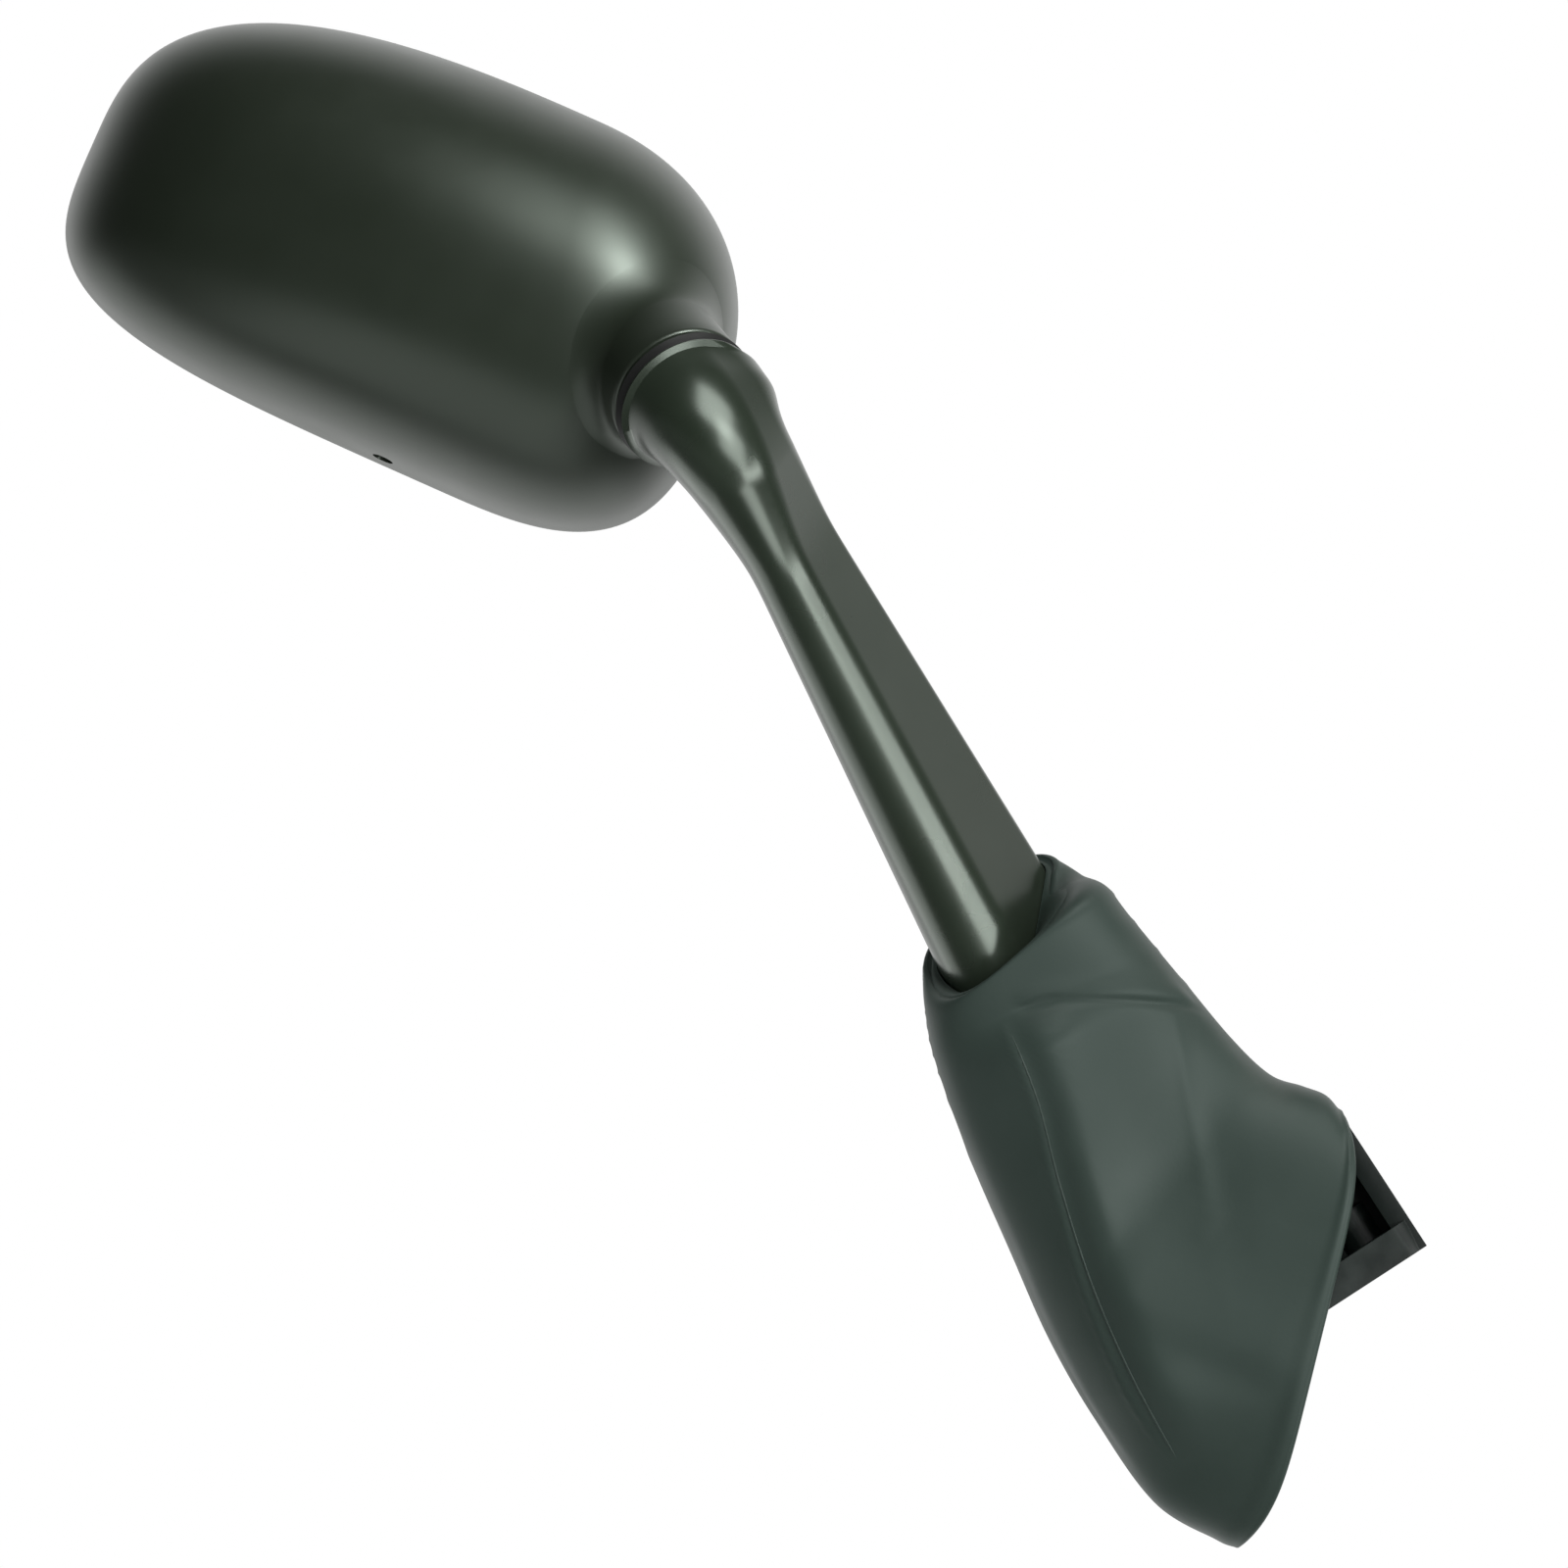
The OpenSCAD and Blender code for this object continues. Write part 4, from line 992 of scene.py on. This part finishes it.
def onSkin(obj, points, sink):
    # points drawn in the foot's side view, dropped on the near flank of the skin and sunk a little into it
    surface = BVHTree.FromPolygons([v.co for v in obj.data.vertices], [tuple(p.vertices) for p in obj.data.polygons])
    laid = []
    for x, z in points:
        start = fromBase([x, -60, z]) * mm
        at, normal, face, reach = surface.ray_cast(Vector(start), Vector((0, 1, 0)))
        if at is not None:
            laid.append(np.array(at) / mm + np.array((0, sink, 0)))
    return np.array(laid)


def wireMesh(name, points):
    mesh = bpy.data.meshes.new(name)
    mesh.from_pydata([tuple(p) for p in points * mm], [(i, i + 1) for i in range(len(points) - 1)], [])
    return mesh


cordTree = cordOnPath()
seamPath = onSkin(bootSkin, curveThrough(bootMarks["fold"]["line"], 90)[3:-2], 0.12)
bootSeam = grown(cordTree, "bootSeam", {"Radius": 0.32 * mm, "Spacing": 1.0 * mm, "Sides": 8}, Matrix.Identity(4),
                 bootRubber, path=wireMesh("seamPath", seamPath))
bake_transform(bootSeam)
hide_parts("boot")
print("boot built")


# cast foot, with the soft edges of a casting
def copyWithSoftEdges(nodeName, name, width, segments=3):
    obj = nodes[nodeName].copy()
    obj.data = nodes[nodeName].data.copy()
    obj.name = name
    bpy.context.scene.collection.objects.link(obj)
    bm = bmesh.new()
    bm.from_mesh(obj.data)
    bmesh.ops.remove_doubles(bm, verts=bm.verts, dist=0.000002)
    bmesh.ops.dissolve_limit(bm, angle_limit=math.radians(1.0), verts=bm.verts, edges=bm.edges)
    bm.to_mesh(obj.data)
    bm.free()
    bevel = obj.modifiers.new("softEdges", "BEVEL")
    bevel.width = width * mm
    bevel.segments = segments
    bevel.limit_method = "ANGLE"
    bevel.angle_limit = math.radians(35)
    applyModifiers(obj)
    tidyMesh(obj, 38)
    return obj


footCasting = copyWithSoftEdges("base_bracket", "footCasting", 0.7)
dress(footCasting, footCoat)
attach(footCasting, "base")
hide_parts("base_bracket")
print("foot built")


# springs of the ball joint and the pivot
def axisMatrix(at, way, across):
    # local Z along the way, local X as near across as it can be; millimetres in
    z = unit(way)
    x = unit(np.asarray(across) - (np.asarray(across) @ z) * z)
    y = np.cross(z, x)
    at = np.asarray(at) * mm
    return Matrix([[x[i], y[i], z[i], at[i]] for i in range(3)] + [[0, 0, 0, 1]])


springs = {"pivotCoil": 6.6, "pivotWire": 0.9, "pivotLength": 12.4, "pivotTurns": 4.5, "capThick": 1.6,
           "coil": 2.35, "wire": 0.45, "length": 8.0, "turns": 5.0}
coilTree = springTree()
pivotWay = onPivot(1) - onPivot(0)
pocketFloor = eyeFar + foot["pocketDepth"]
capAt = pocketFloor - foot["rub"] - springs["pivotLength"] - springs["capThick"]


def boxOf(obj):
    points = np.empty(len(obj.data.vertices) * 3)
    obj.data.vertices.foreach_get("co", points)
    return points.reshape(-1, 3)


def alongAxis(name, at, way):
    # how far a CAD node reaches along an axis, in millimetres
    reach = (boxOf(nodes[name]) / mm - np.asarray(at)) @ unit(way)
    return reach.min(), reach.max()


pivotSpring = grown(coilTree, "pivotSpringCoil", {
    "Coil Radius": springs["pivotCoil"] * mm, "Wire Radius": springs["pivotWire"] * mm,
    "Length": springs["pivotLength"] * mm, "Turns": springs["pivotTurns"], "Steps": 220, "Wire Sides": 16},
    axisMatrix(onPivot(capAt + springs["capThick"]), pivotWay, fromBase([0, 0, -1])), springSteel)
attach(pivotSpring, "base")
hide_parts("pivot_spring")
for i, turn in enumerate(neck["screwTurns"]):
    name = "retainer_spring_%d" % (i + 1)
    low, high = alongAxis(name, ballAt, neckIn)
    coil = grown(coilTree, "retainerCoil%d" % (i + 1), {
        "Coil Radius": springs["coil"] * mm, "Wire Radius": springs["wire"] * mm, "Length": springs["length"] * mm,
        "Turns": springs["turns"], "Steps": 160, "Wire Sides": 10},
        axisMatrix(ballAt + neck["screwRing"] * aroundNeck(turn) + low * neckIn, neckIn, neckDown), springSteel)
    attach(coil, "head")
    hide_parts(name)
    print(name, round(low, 2), round(high, 2))
print("springs grown")


# finishes of the CAD nodes that are shown as they are
nodeFinish = {
    "glass_pad": foamPad, "glass_carrier": nylonBlack, "retainer_plate": zincPlate, "ball_liner": nylonBlack,
    "neck_seal": nylonBlack, "ball_stud": zincPlate, "pivot_bush": oilBronze, "friction_disc": lining,
    "pivot_bolt": zincPlate, "pivot_washer": zincPlate, "spring_cap": zincPlate,
    "lock_nut": zincPlate,
}
for i in (1, 2, 3):
    nodeFinish["retainer_screw_%d" % i] = oxideSteel
for name, material in nodeFinish.items():
    dress(nodes[name], material)


# floor, backdrop, lamps and camera; metres
# the floor's glow is a painted reflection: an emission that only glossy and transmission rays see
floorLook = {"radius": 1.3, "at": (-0.17, 0.1, -0.45), "tone": (0.86, 0.86, 0.86, 1), "rough": 0.9,
             "fade": (0.5, 1.25), "glow": (-0.2, 0.14, 0.1, 1.35)}
worldLook = {"behind": (0.06, 0.88, 0.03, 1.2), "below": (-0.2, -1.0, 0.0, 0.5), "straight": (0.93, 0.985),
             "fall": (-0.14, 0.16, 0.62, 0.0), "plain": (0.42, 0.43, 0.43), "shown": (1.0, 1.0, 1.0)}
view = {"roll": 24, "at": (-0.1662, -8.0, 0.0648), "wide": 0.3721, "sensor": 36}


def mirroredRay(tree, paths):
    return mathNode(tree, "ADD", paths["Is Glossy Ray"], paths["Is Transmission Ray"], True)


def buildFloor():
    material, tree, shader = newMaterial("paleFloor")
    feed(tree, shader, {"Base Color": floorLook["tone"], "Roughness": floorLook["rough"]})
    place = addNode(tree, "ShaderNodeTexCoord").outputs["Object"]
    reach = addNode(tree, "ShaderNodeVectorMath", {0: place}, operation="LENGTH").outputs["Value"]
    fade = ramp(tree, reach, *floorLook["fade"])
    # painted reflection: for what the gloss mirrors, the floor is an emitting glow, about as bright as the backdrop,
    # dim at the front and strongest towards the back
    paths = addNode(tree, "ShaderNodeLightPath").outputs
    back = addNode(tree, "ShaderNodeSeparateXYZ", {"Vector": place}).outputs["Y"]
    glow = addNode(tree, "ShaderNodeEmission", {"Strength": ramp(tree, back, *floorLook["glow"])})
    seen = addNode(tree, "ShaderNodeMixShader", {
        0: mirroredRay(tree, paths), 1: shader.outputs[0], 2: glow.outputs[0]})
    # seen from below it isn't there
    under = addNode(tree, "ShaderNodeNewGeometry").outputs["Backfacing"]
    clear = addNode(tree, "ShaderNodeBsdfTransparent")
    blend = addNode(tree, "ShaderNodeMixShader", {
        0: mathNode(tree, "MAXIMUM", fade, under), 1: seen.outputs[0], 2: clear.outputs[0]})
    feed(tree, tree.nodes["Material Output"], {"Surface": blend.outputs[0]})
    bm = bmesh.new()
    bmesh.ops.create_circle(bm, cap_ends=True, radius=floorLook["radius"], segments=128)
    mesh = bpy.data.meshes.new("studioFloor")
    bm.to_mesh(mesh)
    bm.free()
    floor = bpy.data.objects.new("studioFloor", mesh)
    bpy.context.scene.collection.objects.link(floor)
    floor.location = floorLook["at"]
    dress(floor, material)


def buildWorld():
    # white for the camera; pale behind and below, dimmer in front, for what the gloss mirrors
    world = bpy.data.worlds.new("studio")
    bpy.context.scene.world = world
    world.use_nodes = True
    tree = world.node_tree
    paths = addNode(tree, "ShaderNodeLightPath").outputs
    place = addNode(tree, "ShaderNodeTexCoord").outputs["Generated"]
    parts = addNode(tree, "ShaderNodeSeparateXYZ", {"Vector": place}).outputs
    strongest = mathNode(tree, "MAXIMUM", ramp(tree, parts["Y"], *worldLook["behind"]),
                         ramp(tree, parts["Z"], *worldLook["below"]))
    # straight behind, a slow fall from light to grey that the glass shows
    dimmed = mathNode(tree, "MULTIPLY", ramp(tree, parts["Y"], *worldLook["straight"]),
                      ramp(tree, parts["Z"], *worldLook["fall"]))
    level = mathNode(tree, "MULTIPLY", strongest, mathNode(tree, "SUBTRACT", 1.0, dimmed))
    mirrored = addNode(tree, "ShaderNodeCombineColor", {0: level, 1: level, 2: level}).outputs["Color"]
    colour = mixColour(tree, mirroredRay(tree, paths), worldLook["plain"], mirrored)
    colour = mixColour(tree, paths["Is Camera Ray"], colour, worldLook["shown"])
    feed(tree, tree.nodes["Background"], {"Color": colour, "Strength": 1.0})


def softLamp(name, toward, away, size, power, target=(-0.17, -0.03, 0.07), lengthways=(0, 0, 1), only=()):
    data = bpy.data.lights.new(name, "AREA")
    data.shape = "RECTANGLE"
    data.size, data.size_y = size
    data.energy = power
    lamp = bpy.data.objects.new(name, data)
    bpy.context.scene.collection.objects.link(lamp)
    way = unit(toward)
    lamp.location = Vector(target) + Vector(way) * away
    # its long side lies as near as it can along the given direction
    side = unit(np.asarray(lengthways, float) - (np.asarray(lengthways, float) @ way) * way)
    other = np.cross(side, way)
    lamp.matrix_world = Matrix.Translation(lamp.location) @ Matrix(
        [[other[i], side[i], way[i]] for i in range(3)]).to_4x4()
    lamp.visible_camera = False
    if only:
        # a small reflector that lights just these pieces
        group = bpy.data.collections.new(name + "Receives")
        for piece in only:
            group.objects.link(piece)
        lamp.light_linking.receiver_collection = group


def buildCamera():
    data = bpy.data.cameras.new("photoCamera")
    camera = bpy.data.objects.new("photoCamera", data)
    bpy.context.scene.collection.objects.link(camera)
    roll = math.radians(view["roll"])
    right, up = Vector((math.cos(roll), 0, math.sin(roll))), Vector((-math.sin(roll), 0, math.cos(roll)))
    camera.matrix_world = Matrix.Translation(view["at"]) @ Matrix((
        (right.x, up.x, 0.0), (right.y, up.y, -1.0), (right.z, up.z, 0.0))).to_4x4()
    data.sensor_width = view["sensor"]
    data.lens = view["sensor"] * -view["at"][1] / view["wide"]
    data.clip_end = 100
    bpy.context.scene.camera = camera


buildFloor()
buildWorld()
notArm = [o for o in bpy.context.scene.objects if o.type == "MESH" and o not in (armBody, nodes["arm"])]
softLamp("overBox", toward=(0.111, -0.602, 0.79), away=1.2, size=(0.36, 0.85), power=6.5,
         lengthways=(0.084, 0.799, 0.596), only=notArm)
softLamp("sideBox", toward=(-0.03, -0.766, 0.642), away=0.9, size=(0.74, 0.72), power=12,
         target=(-0.22, -0.05, 0.14), only=(armBody,))
softLamp("bridgeBox", toward=(0.327, -0.891, 0.315), away=1.2, size=(0.8, 0.8), power=13, only=(armBody,))
softLamp("lowBox", toward=(-0.306, 0.139, -0.942), away=0.36, size=(0.26, 0.26), power=0.4,
         target=(-0.2, -0.04, 0.12), only=(armBody,))
softLamp("lowBridge", toward=(0.723, -0.574, -0.385), away=1.2, size=(0.55, 0.55), power=5.5, only=(armBody,))
softLamp("underBox", toward=(0.05, -0.60, -0.80), away=0.5, size=(0.6, 0.5), power=0.95,
         target=(-0.25, -0.03, 0.12), only=(headShell, neckCollar))
softLamp("crownBox", toward=(0.311, -0.643, 0.70), away=1.2, size=(0.2, 0.2), power=14.0,
         only=(headShell, neckCollar))
softLamp("lineBox", toward=(0.780, -0.602, 0.173), away=1.2, size=(0.16, 1.0), power=7,
         lengthways=(0.294, 0.56, 0.626))
buildCamera()
bpy.context.scene.view_settings.view_transform = "Standard"
print("stage built")
